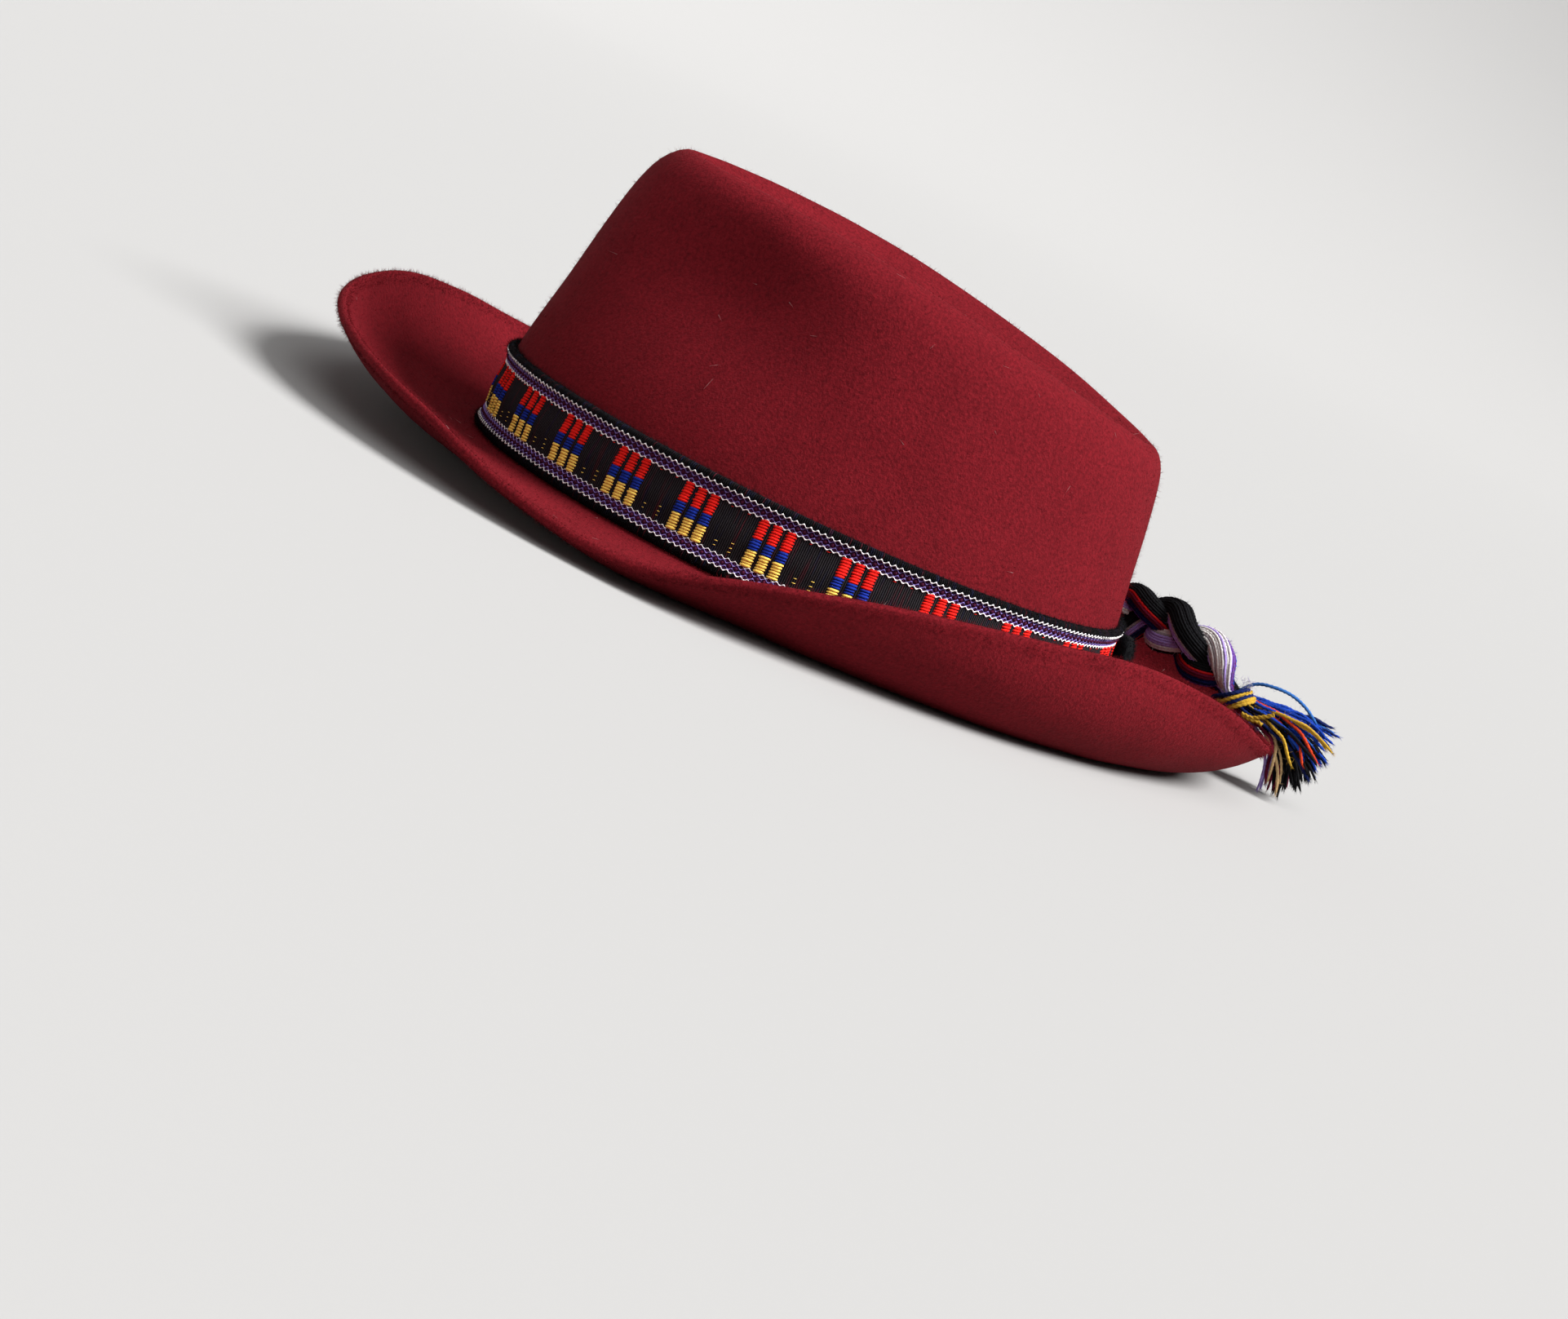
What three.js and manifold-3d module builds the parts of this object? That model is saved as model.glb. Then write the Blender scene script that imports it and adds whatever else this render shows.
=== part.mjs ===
// Tyrolean hat: red wool felt, a woven belt round the crown, and the belt's ends plaited into a tassel.
// Millimetres. +Z is up, the hat's front is toward -Y, the wearer's left is +X, and it stands on z = 0.
import * as THREE from 'three';
import Module from 'manifold-3d';

const wasm = await Module();
wasm.setup();

// Felt
const FELT_THICKNESS = 2.5;
const COLUMNS = 64;

// Crown foot, an egg-shaped oval where the crown rises from the brim
const CROWN_MIDDLE_Y = -11.7;
const FOOT_HALF_LENGTH = 97.3;
const FOOT_HALF_WIDTH = 84.5;
const FOOT_EGG = 0.05;
const FOOT_Z = 4.3;
const FILLET_WIDE = 3;
const FILLET_HIGH = 1;

// Crown ridge, an egg-shaped oval round the top, narrower at the front and lower at the back
const RIDGE_MIDDLE_Y = 4.7;
const RIDGE_HALF_LENGTH = 79;
const RIDGE_HALF_WIDTH = 49;
const RIDGE_TAPER = 0.1;
const RIDGE_POINT = 0.05;
const RIDGE_Z = 98.9;
const RIDGE_SLOPE = 0.1375;
const RIDGE_BOW = 0.00105;

// Crease along the top, between the two ridges
const CREASE_HALF_LENGTH = 60;
const CREASE_DEPTH = 16;
const CREASE_FADE = 0.45;
const CREASE_CURVE = 1.8;

// Finger dents beside the front of the crown
const DENT_DEPTH = 11;
const DENT_TURN = 53;
const DENT_TURN_SPREAD = 25;
const DENT_UP = 0.74;
const DENT_FADE = 8;
const DENT_UP_SPREAD = 0.25;

// Brim, by turn from the front: its slope in degrees at the crown, and its width along the felt and its slope
// at the edge, on the wearer's left and on the right
const BRIM_CURL = 1.26;
const BRIM = [
  { turn: 0, start: -3, leftWidth: 54.3, leftEdge: 65, rightWidth: 54.3, rightEdge: 65 },
  { turn: 15, start: -1.5, leftWidth: 54, leftEdge: 50.5, rightWidth: 54, rightEdge: 75 },
  { turn: 30, start: -1, leftWidth: 54.2, leftEdge: 39.5, rightWidth: 54.2, rightEdge: 66.5 },
  { turn: 45, start: -2.5, leftWidth: 55, leftEdge: 31.5, rightWidth: 55, rightEdge: 53.5 },
  { turn: 60, start: -6.5, leftWidth: 56, leftEdge: 22, rightWidth: 56, rightEdge: 47 },
  { turn: 75, start: -11, leftWidth: 56.6, leftEdge: 23, rightWidth: 56.6, rightEdge: 48 },
  { turn: 90, start: -15, leftWidth: 57.4, leftEdge: 54, rightWidth: 57.4, rightEdge: 62 },
  { turn: 105, start: -17.5, leftWidth: 59, leftEdge: 80.5, rightWidth: 57.6, rightEdge: 78 },
  { turn: 120, start: -19, leftWidth: 60.8, leftEdge: 97.5, rightWidth: 57.6, rightEdge: 89 },
  { turn: 135, start: -19.5, leftWidth: 61.6, leftEdge: 106, rightWidth: 57, rightEdge: 88 },
  { turn: 150, start: -18.7, leftWidth: 59.8, leftEdge: 91.5, rightWidth: 56, rightEdge: 74 },
  { turn: 165, start: -16, leftWidth: 56.4, leftEdge: 61.5, rightWidth: 54.4, rightEdge: 54 },
  { turn: 180, start: -10, leftWidth: 52.8, leftEdge: 46, rightWidth: 52.8, rightEdge: 46 },
];
const BRIM_STEPS = 40;
const EDGE_BULGE = 0.5;

// Crown wall, by share of its height: how far it has leaned from the foot to the ridge
const WALL = [
  { up: 0, inset: 0 },
  { up: 0.012, inset: 0.001 },
  { up: 0.035, inset: 0.003 },
  { up: 0.13, inset: 0.01 },
  { up: 0.25, inset: 0.035 },
  { up: 0.36, inset: 0.115 },
  { up: 0.5, inset: 0.235 },
  { up: 0.64, inset: 0.35 },
  { up: 0.76, inset: 0.46 },
  { up: 0.86, inset: 0.57 },
  { up: 0.93, inset: 0.69 },
  { up: 0.975, inset: 0.84 },
  { up: 1, inset: 1 },
];

// Rows of the felt's outer and inner face: brim edge at 0, crown foot at 1, ridge at 2, crease line at 3
const OUTER_ROWS = [
  0, 0.07, 0.16, 0.26, 0.37, 0.48, 0.6, 0.72, 0.84, 0.94,
  1, 1.002, 1.005, 1.011, 1.035, 1.25, 1.36, 1.5, 1.64, 1.76, 1.86, 1.93, 1.975,
  2, 2.15, 2.32, 2.5, 2.68, 2.85, 3,
];
const INNER_ROWS = [
  0, 0.1, 0.22, 0.35, 0.48, 0.62, 0.76, 0.9,
  1, 1.035, 1.25, 1.36, 1.6, 1.76, 1.86, 1.93,
  2, 2.2, 2.5, 2.78, 3,
];

// Woven band, upright up to its straight height and then along the wall, and by share of its height from
// the bottom edge: its thickness there
const GAP = 0.62;
const BAND_LOW = 0.8;
const BAND_HEIGHT = 25;
const BAND_STRAIGHT = 2.5;
const BAND_PROFILE = [
  { across: 0, thick: 1 },
  { across: 0.04, thick: 1.5 },
  { across: 0.08, thick: 1.5 },
  { across: 0.12, thick: 1 },
  { across: 0.5, thick: 1 },
  { across: 0.89, thick: 1.1 },
  { across: 0.92, thick: 1.6 },
  { across: 0.97, thick: 1.6 },
  { across: 1, thick: 1 },
];
const BAND_BACK = [1, 0.9, 0.78, 0.5, 0.12, 0];

// Black rolled end of the belt at the back of the crown, and its size by share of its height
const END_TURN = 179;
const END_LOW = 5;
const END_HIGH = 21.5;
const END_HALF_WIDTH = 5.5;
const END_DEPTH = 5.5;
const END_COLUMNS = 12;
const END_CLEAR = 1.95;
const END_ROUND = [
  { up: 0, size: 0.45 },
  { up: 0.08, size: 0.8 },
  { up: 0.25, size: 1 },
  { up: 0.7, size: 1 },
  { up: 0.9, size: 0.8 },
  { up: 1, size: 0.45 },
];

// Braid, its middle line from the band to the tie, and its three strands
const BRAID_PATH = [
  { x: -29.5, y: 86.1, z: 28.5 },
  { x: -25.3, y: 93, z: 32.1 },
  { x: -20, y: 98.6, z: 33.2 },
  { x: -14.8, y: 105.2, z: 32 },
  { x: -10.6, y: 112.2, z: 30.4 },
  { x: -8.2, y: 119.5, z: 27.3 },
  { x: -7.2, y: 125.6, z: 23.4 },
];
const STRANDS = 3;
const STRAND_RADIUS = 4.2;
const STRAND_END_RADIUS = 2.4;
const PLAIT_HIGH = 4.7;
const PLAIT_DEEP = 2.5;
const PLAIT_END = 0.16;
const PLAIT_TURNS = 1.1;
const PLAIT_START = 0.06;
const PLAIT_ROLL = 25;
const DRAW_IN_FROM = 0.79;
const DRAW_IN_TO = 0.94;
const BRAID_RINGS = 26;
const STRAND_SIDES = 8;

// Tie, thread wound in turns round the end of the braid, and the tassel's neck inside it
const TIE_BORE = 4;
const TIE_THREAD = 1.5;
const TIE_GROOVE = 0.6;
const TIE_TURNS = 5;
const TIE_TURN_STEPS = 3;
const TIE_LENGTH = 9;
const TIE_OVERLAP = 3.2;
const TIE_SIDES = 14;

// Tassel, locks of loose yarn from one head, by lock: its end, where it bends, its root and tip radius
const NECK_RADIUS = 3.6;
const HEAD_RADIUS = 4.6;
const NECK_CLEAR = 2.2;
const HEAD_LENGTH = 6;
const HEAD_SHOULDER = 2;
const LOCK_ROOT = 1.5;
const LOCK_SIDES = 6;
const LOCK_RINGS = 7;
const LOCKS = [
  { x: -11, y: 159, z: 25, bendY: 144, bendZ: 28, root: 2.4, tip: 1.5 },
  { x: -3, y: 157, z: 21, bendY: 145, bendZ: 25, root: 2.5, tip: 1.6 },
  { x: -15, y: 156, z: 18, bendY: 145, bendZ: 23, root: 2.5, tip: 1.6 },
  { x: -7, y: 159, z: 15.5, bendY: 147, bendZ: 24.5, root: 2.4, tip: 1.6 },
  { x: 1, y: 156, z: 12, bendY: 147, bendZ: 24.5, root: 2.4, tip: 1.5 },
  { x: -12, y: 158, z: 9.5, bendY: 149, bendZ: 24.5, root: 2.4, tip: 1.6 },
  { x: -4, y: 155, z: 6, bendY: 148, bendZ: 24.5, root: 2.4, tip: 1.6 },
  { x: -17, y: 151, z: 5.5, bendY: 146, bendZ: 25, root: 2.2, tip: 1.5 },
  { x: -10, y: 150.5, z: 2, bendY: 147, bendZ: 25, root: 2.2, tip: 1.4 },
  { x: 0, y: 148.5, z: 2.1, bendY: 146, bendZ: 25, root: 2.2, tip: 1.4 },
  { x: -6, y: 146.5, z: 2, bendY: 145, bendZ: 25, root: 2.2, tip: 1.3 },
];

const radians = THREE.MathUtils.degToRad;
const mix = THREE.MathUtils.lerp;

// Value at a turn, on a smooth closed curve through equally spaced values
function roundValue(values, turn) {
  const count = values.length;
  const place = (((turn % 360) + 360) % 360) / 360 * count;
  const index = Math.floor(place);
  const share = place - index;
  const at = (step) => values[(index + step + count) % count];
  const slopeIn = (at(1) - at(-1)) / 2;
  const slopeOut = (at(2) - at(0)) / 2;
  const rise = at(1) - at(0);
  const square = 3 * rise - 2 * slopeIn - slopeOut;
  const cube = slopeIn + slopeOut - 2 * rise;
  return at(0) + share * (slopeIn + share * (square + share * cube));
}

// Brim table carried round both sides, front to left to back to right
function roundColumn(leftName, rightName) {
  const last = BRIM.length - 1;
  const left = BRIM.map((row) => row[leftName]);
  const right = BRIM.slice(1, last).reverse().map((row) => row[rightName]);
  return left.concat(right);
}
const brimWidth = roundColumn('leftWidth', 'rightWidth');
const brimStart = roundColumn('start', 'start');
const brimEdge = roundColumn('leftEdge', 'rightEdge');

// Value between the rows of a table, read along one of its columns
function between(rows, along, column, place) {
  const next = Math.max(1, rows.findIndex((row) => row[along] >= place));
  const low = rows[next - 1];
  const high = rows[next];
  return mix(low[column], high[column], (place - low[along]) / (high[along] - low[along]));
}

// Foot oval and its outward direction
function foot(turn) {
  const angle = radians(turn);
  const wide = 1 - FOOT_EGG * Math.cos(angle);
  const x = FOOT_HALF_WIDTH * Math.sin(angle) * wide;
  const y = CROWN_MIDDLE_Y - FOOT_HALF_LENGTH * Math.cos(angle);
  return new THREE.Vector3(x, y, FOOT_Z);
}
function footOut(turn) {
  const step = 0.5;
  const along = foot(turn + step).sub(foot(turn - step));
  return new THREE.Vector3(along.y, -along.x, 0).normalize();
}

// Ridge line round the top of the crown
function ridgeHeight(y) {
  return RIDGE_Z - RIDGE_SLOPE * y - RIDGE_BOW * y * y;
}
function ridge(turn) {
  const angle = radians(turn);
  const ahead = Math.cos(angle);
  const narrow = 1 - RIDGE_TAPER * ahead - RIDGE_POINT * ahead * ahead;
  const fromMiddle = -RIDGE_HALF_LENGTH * ahead;
  const y = CROWN_MIDDLE_Y + RIDGE_MIDDLE_Y + fromMiddle;
  return new THREE.Vector3(RIDGE_HALF_WIDTH * Math.sin(angle) * narrow, y, ridgeHeight(fromMiddle));
}

// Depth of the finger dents at a place on the crown wall
function dent(turn, up) {
  const fromFront = Math.abs(((turn + 180) % 360 + 360) % 360 - 180);
  const aside = (fromFront - DENT_TURN) / DENT_TURN_SPREAD;
  const above = (up - DENT_UP) / DENT_UP_SPREAD;
  return DENT_DEPTH * Math.exp(-aside * aside - above * above) * (1 - Math.pow(up, DENT_FADE));
}

// Outer face of the crown wall
function wall(turn, up) {
  const low = foot(turn);
  const high = ridge(turn);
  const point = low.clone().lerp(high, between(WALL, 'up', 'inset', up));
  point.z = mix(low.z, high.z, up);
  const drop = 1 - Math.min((point.z - FOOT_Z) / FILLET_HIGH, 1);
  const flare = FILLET_WIDE * (1 - Math.sqrt(1 - drop * drop));
  return point.addScaledVector(footOut(turn), flare - dent(turn, up));
}

// Top face of the brim, from its edge at share 1 to the fillet at share 0: the slope grows along the felt
function brim(turn, share) {
  const start = roundValue(brimStart, turn);
  const gain = roundValue(brimEdge, turn) - start;
  const step = share * roundValue(brimWidth, turn) / BRIM_STEPS;
  let reach = FILLET_WIDE;
  let rise = 0;
  for (let count = 0.5; count < BRIM_STEPS; count += 1) {
    const slope = radians(start + gain * Math.pow(share * count / BRIM_STEPS, BRIM_CURL));
    reach += step * Math.cos(slope);
    rise += step * Math.sin(slope);
  }
  const point = foot(turn).addScaledVector(footOut(turn), reach);
  point.z += rise;
  return point;
}

// Crown top, from the ridge at share 1 down to the crease line at share 0
function top(turn, share) {
  const high = ridge(turn);
  const ahead = Math.cos(radians(turn));
  const fromMiddle = -CREASE_HALF_LENGTH * ahead;
  const y = CROWN_MIDDLE_Y + RIDGE_MIDDLE_Y + fromMiddle;
  const depth = CREASE_DEPTH * (1 - CREASE_FADE * ahead * ahead);
  const low = new THREE.Vector3(0, y, ridgeHeight(fromMiddle) - depth);
  const point = low.clone().lerp(high, share);
  point.z = mix(low.z, high.z, Math.pow(share, CREASE_CURVE));
  return point;
}

// One ring of points round the hat
function ring(pointAt) {
  return Array.from({ length: COLUMNS }, (_, column) => pointAt(column * 360 / COLUMNS));
}

// Outer face of the felt along one line from the brim edge to the crease, and its outward direction
function feltSpot(turn, along) {
  if (along <= 1) {
    return brim(turn, 1 - along);
  }
  return along <= 2 ? wall(turn, along - 1) : top(turn, 3 - along);
}
function feltOut(turn, along) {
  const step = 0.01;
  const row = Math.min(along, 3 - step);
  const low = feltSpot(turn, Math.max(row - step, 0));
  const high = feltSpot(turn, row + step);
  const across = feltSpot(turn + 1, row).sub(feltSpot(turn - 1, row));
  return across.cross(high.sub(low)).normalize();
}

// Triangles of a stack of rings: closed along as a tube's loop, capped at both ends, or left as it is
function skin(rings, ends) {
  const sides = rings[0].length;
  const spots = rings.flat();
  const faces = [];
  const bands = ends === 'loop' ? rings.length : rings.length - 1;
  for (let row = 0; row < bands; row += 1) {
    const nextRow = (row + 1) % rings.length;
    for (let side = 0; side < sides; side += 1) {
      const nextSide = (side + 1) % sides;
      const a = row * sides + side;
      const b = row * sides + nextSide;
      const c = nextRow * sides + nextSide;
      const d = nextRow * sides + side;
      faces.push(a, b, c, a, c, d);
    }
  }
  if (ends === 'capped') {
    const last = (rings.length - 1) * sides;
    for (let side = 1; side < sides - 1; side += 1) {
      faces.push(0, side + 1, side, last, last + side, last + side + 1);
    }
  }
  let volume = 0;
  for (let face = 0; face < faces.length; face += 3) {
    const [a, b, c] = faces.slice(face, face + 3).map((index) => spots[index]);
    volume += a.dot(b.clone().cross(c));
  }
  if (volume < 0) {
    faces.reverse();
  }
  return { spots, faces };
}

function geometryOf({ spots, faces }) {
  const geometry = new THREE.BufferGeometry();
  geometry.setFromPoints(spots);
  geometry.setIndex(faces);
  geometry.computeVertexNormals();
  return geometry;
}

// Joined solids
function solidOf({ spots, faces }) {
  const vertProperties = new Float32Array(spots.flatMap((spot) => spot.toArray()));
  return new wasm.Manifold(new wasm.Mesh({ numProp: 3, vertProperties, triVerts: new Uint32Array(faces) }));
}
function geometryOfSolid(solid) {
  const mesh = solid.getMesh();
  const geometry = new THREE.BufferGeometry();
  geometry.setAttribute('position', new THREE.BufferAttribute(new Float32Array(mesh.vertProperties), 3));
  geometry.setIndex(Array.from(mesh.triVerts));
  geometry.computeVertexNormals();
  return geometry;
}

// Tube of given radius along a curve, as rings square to it
function tubeRings(curve, radiusAt, rings, sides) {
  const frames = curve.computeFrenetFrames(rings - 1, false);
  return Array.from({ length: rings }, (_, index) => {
    const share = index / (rings - 1);
    const middle = curve.getPointAt(share);
    return Array.from({ length: sides }, (__, side) => {
      const angle = side / sides * 2 * Math.PI;
      const across = frames.normals[index].clone().multiplyScalar(Math.cos(angle));
      across.addScaledVector(frames.binormals[index], Math.sin(angle));
      return middle.clone().addScaledVector(across, radiusAt(share));
    });
  });
}

// Felt: the outer face, the inner face one thickness behind it and flat where it rests, and the cut edge
function innerSpot(turn, along) {
  const spot = feltSpot(turn, along).addScaledVector(feltOut(turn, along), -FELT_THICKNESS);
  spot.z = Math.max(spot.z, 0);
  spot.x = along === 3 ? 0 : spot.x;
  return spot;
}
function cutEdge(turn) {
  const middle = feltSpot(turn, 0).lerp(innerSpot(turn, 0), 0.5);
  return middle.addScaledVector(footOut(turn), EDGE_BULGE);
}
const feltRings = [
  ...INNER_ROWS.slice().reverse().map((along) => ring((turn) => innerSpot(turn, along))),
  ring(cutEdge),
  ...OUTER_ROWS.map((along) => ring((turn) => feltSpot(turn, along))),
];
const feltGeometry = geometryOf(skin(feltRings, 'open'));

// Band: a closed ring of cloth, one small gap clear of the felt and following its wall
function bandSpot(turn, lift, clear) {
  const level = Math.max(lift, BAND_STRAIGHT);
  const along = 1 + level / (ridge(turn).z - FOOT_Z);
  const spot = feltSpot(turn, along).addScaledVector(feltOut(turn, along), clear);
  spot.z += lift - level;
  return spot;
}
const bandLift = (across) => BAND_LOW + BAND_HEIGHT * across;
const bandRings = [
  ...BAND_PROFILE.map((row) => ring((turn) => bandSpot(turn, bandLift(row.across), GAP + row.thick))),
  ...BAND_BACK.map((across) => ring((turn) => bandSpot(turn, bandLift(across), GAP))),
];
const bandGeometry = geometryOf(skin(bandRings, 'loop'));

// Band end: a rolled lump standing out from the back of the band
const endRing = (lift, size) => Array.from({ length: END_COLUMNS }, (_, column) => {
  const angle = column / END_COLUMNS * 2 * Math.PI;
  const spot = bandSpot(END_TURN, lift, END_CLEAR + END_DEPTH / 2);
  spot.x += END_HALF_WIDTH * size * Math.cos(angle);
  spot.y += END_DEPTH / 2 * size * Math.sin(angle);
  return spot;
});
const endRings = END_ROUND.map((row) => endRing(mix(END_LOW, END_HIGH, row.up), row.size));
const endGeometry = geometryOf(skin(endRings, 'capped'));

// Braid: three strands that swing past one another, drawn in toward the tie
const braidLine = new THREE.CatmullRomCurve3(BRAID_PATH.map(({ x, y, z }) => new THREE.Vector3(x, y, z)));
const settle = (share) => THREE.MathUtils.smoothstep(share, DRAW_IN_FROM, DRAW_IN_TO);
function strandSpot(strand, share) {
  const along = braidLine.getTangentAt(share);
  const aside = new THREE.Vector3(0, 0, 1).cross(along).normalize();
  const up = along.clone().cross(aside);
  const swing = 2 * Math.PI * (PLAIT_TURNS * share + PLAIT_START + strand / STRANDS);
  const roll = radians(PLAIT_ROLL);
  const open = mix(1, PLAIT_END, settle(share));
  const high = open * PLAIT_HIGH * Math.sin(swing);
  const deep = open * PLAIT_DEEP * Math.sin(2 * swing);
  const spot = braidLine.getPointAt(share);
  spot.addScaledVector(up, high * Math.cos(roll) + deep * Math.sin(roll));
  return spot.addScaledVector(aside, deep * Math.cos(roll) - high * Math.sin(roll));
}
const strandSolids = Array.from({ length: STRANDS }, (_, strand) => {
  const shares = Array.from({ length: BRAID_RINGS }, (__, index) => index / (BRAID_RINGS - 1));
  const spots = shares.map((share) => strandSpot(strand, share));
  const curve = new THREE.CatmullRomCurve3(spots);
  const radiusAt = (share) => mix(STRAND_RADIUS, STRAND_END_RADIUS, settle(share));
  return solidOf(skin(tubeRings(curve, radiusAt, BRAID_RINGS, STRAND_SIDES), 'capped'));
});
const braidGeometry = geometryOfSolid(strandSolids.reduce((whole, strand) => whole.add(strand)));

// Tie: thread turns side by side, as a ring round the line that carries on from the braid
const tieAlong = braidLine.getTangentAt(1);
const tieTurn = new THREE.Quaternion().setFromUnitVectors(new THREE.Vector3(0, 1, 0), tieAlong);
const tieStart = braidLine.getPointAt(1).addScaledVector(tieAlong, -TIE_OVERLAP);
function placeOnTie(geometry) {
  geometry.applyQuaternion(tieTurn);
  geometry.translate(tieStart.x, tieStart.y, tieStart.z);
  return geometry;
}
const tieOutline = [new THREE.Vector2(TIE_BORE, 0)];
const tieSteps = TIE_TURNS * TIE_TURN_STEPS;
for (let step = 0; step <= tieSteps; step += 1) {
  const share = step / tieSteps;
  const swell = Math.abs(Math.sin(Math.PI * TIE_TURNS * share));
  const thick = TIE_THREAD * mix(TIE_GROOVE, 1, swell);
  tieOutline.push(new THREE.Vector2(TIE_BORE + thick, TIE_LENGTH * share));
}
tieOutline.push(new THREE.Vector2(TIE_BORE, TIE_LENGTH));
tieOutline.push(new THREE.Vector2(TIE_BORE, 0));
const tieGeometry = placeOnTie(new THREE.LatheGeometry(tieOutline, TIE_SIDES));

// Tassel: a head that swells out of the tie, with the locks joined to it
const neckStart = TIE_OVERLAP + NECK_CLEAR;
const headOutline = [
  new THREE.Vector2(0, neckStart),
  new THREE.Vector2(NECK_RADIUS, neckStart),
  new THREE.Vector2(NECK_RADIUS, TIE_LENGTH + GAP),
  new THREE.Vector2(HEAD_RADIUS, TIE_LENGTH + HEAD_SHOULDER),
  new THREE.Vector2(HEAD_RADIUS, TIE_LENGTH + HEAD_LENGTH / 2),
  new THREE.Vector2(0, TIE_LENGTH + HEAD_LENGTH),
];
function solidOfGeometry(geometry) {
  const place = geometry.getAttribute('position');
  const triVerts = new Uint32Array(geometry.getIndex().array);
  const mesh = new wasm.Mesh({ numProp: 3, vertProperties: new Float32Array(place.array), triVerts });
  mesh.merge();
  return new wasm.Manifold(mesh);
}
const headSolid = solidOfGeometry(placeOnTie(new THREE.LatheGeometry(headOutline, TIE_SIDES)));
const lockRoot = tieStart.clone().addScaledVector(tieAlong, TIE_LENGTH + LOCK_ROOT);
const lockSolids = LOCKS.map((lock) => {
  const end = new THREE.Vector3(lock.x, lock.y, lock.z);
  const bend = new THREE.Vector3(mix(lockRoot.x, lock.x, 0.5), lock.bendY, lock.bendZ);
  const curve = new THREE.QuadraticBezierCurve3(lockRoot, bend, end);
  const radiusAt = (share) => mix(lock.root, lock.tip, share);
  return solidOf(skin(tubeRings(curve, radiusAt, LOCK_RINGS, LOCK_SIDES), 'capped'));
});
const tasselGeometry = geometryOfSolid(lockSolids.reduce((whole, lock) => whole.add(lock), headSolid));

// Named pieces, each with its own material
function piece(name, geometry, color, roughness) {
  const material = new THREE.MeshStandardMaterial({ color, roughness, metalness: 0 });
  material.name = name;
  const mesh = new THREE.Mesh(geometry, material);
  mesh.name = name;
  return mesh;
}
const group = new THREE.Group();
group.name = 'tyrolean_hat';
group.add(piece('crown_and_brim', feltGeometry, 0x8a1a29, 0.95));
group.add(piece('band', bandGeometry, 0x1b1a1f, 0.9));
group.add(piece('band_end', endGeometry, 0x141418, 0.95));
group.add(piece('braid', braidGeometry, 0x3a3644, 0.9));
group.add(piece('tassel_tie', tieGeometry, 0xb08a2e, 0.85));
group.add(piece('tassel', tasselGeometry, 0x23376f, 0.9));

export default group;
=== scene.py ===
import bpy
import numpy as np
from mathutils import Matrix


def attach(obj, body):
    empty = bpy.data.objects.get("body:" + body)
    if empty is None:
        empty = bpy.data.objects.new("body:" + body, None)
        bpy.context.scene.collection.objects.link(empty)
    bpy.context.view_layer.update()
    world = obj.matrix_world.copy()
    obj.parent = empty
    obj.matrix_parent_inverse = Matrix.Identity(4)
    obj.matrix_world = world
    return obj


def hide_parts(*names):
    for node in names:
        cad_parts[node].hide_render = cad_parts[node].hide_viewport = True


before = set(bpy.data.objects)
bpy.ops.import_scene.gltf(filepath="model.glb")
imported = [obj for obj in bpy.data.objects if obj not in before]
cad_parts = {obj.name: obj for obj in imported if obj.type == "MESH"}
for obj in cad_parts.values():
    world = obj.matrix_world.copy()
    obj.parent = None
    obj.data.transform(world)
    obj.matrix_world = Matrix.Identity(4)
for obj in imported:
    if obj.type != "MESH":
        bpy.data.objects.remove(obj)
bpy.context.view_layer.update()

# Felt body
# Crown and brim are one hood of red wool felt, about 2.5 mm thick, steamed over a block, creased along the
# top, pinched by hand at the front, turned up round the back and cut raw at the brim's edge.
MM = 0.001
TINY = 1e-12
NEAR_TURN, NEAR_UP = 0.5, 0.01
FELT_THICKNESS = 2.5
FELT_COLUMNS, BRIM_LINES, WALL_LINES, TOP_LINES = 256, 37, 40, 21
CROWN_MIDDLE_Y = -11.7
FOOT_HALF_LENGTH, FOOT_HALF_WIDTH, FOOT_EGG, FOOT_Z = 97.3, 84.5, 0.05, 4.3
FILLET_WIDE, FILLET_HIGH = 3.0, 1.0
RIDGE_MIDDLE_Y, RIDGE_HALF_LENGTH, RIDGE_HALF_WIDTH = 4.7, 79.0, 49.0
RIDGE_TAPER, RIDGE_POINT = 0.1, 0.05
RIDGE_Z, RIDGE_SLOPE, RIDGE_BOW = 98.9, 0.1375, 0.00105
CREASE_HALF_LENGTH, CREASE_DEPTH, CREASE_FADE, CREASE_CURVE = 60.0, 16.0, 0.45, 1.8
DENT_DEPTH, DENT_TURN, DENT_TURN_SPREAD = 11.0, 53.0, 25.0
DENT_UP, DENT_UP_SPREAD, DENT_FADE = 0.74, 0.25, 8
BRIM_CURL, BRIM_STEPS = 1.26, 40
BRIM_NAMES = ("turn", "start", "left_width", "left_edge", "right_width", "right_edge")
BRIM_ROWS = [
    (0, -3, 54.3, 65, 54.3, 65),
    (15, -1.5, 54, 50.5, 54, 75),
    (30, -1, 54.2, 39.5, 54.2, 66.5),
    (45, -2.5, 55, 31.5, 55, 53.5),
    (60, -6.5, 56, 22, 56, 47),
    (75, -11, 56.6, 23, 56.6, 48),
    (90, -15, 57.4, 54, 57.4, 62),
    (105, -17.5, 59, 80.5, 57.6, 78),
    (120, -19, 60.8, 97.5, 57.6, 89),
    (135, -19.5, 61.6, 106, 57, 88),
    (150, -18.7, 59.8, 91.5, 56, 74),
    (165, -16, 56.4, 61.5, 54.4, 54),
    (180, -10, 52.8, 46, 52.8, 46),
]
WALL_UP = np.array([0, 0.012, 0.035, 0.13, 0.25, 0.36, 0.5, 0.64, 0.76, 0.86, 0.93, 0.975, 1])
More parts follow.
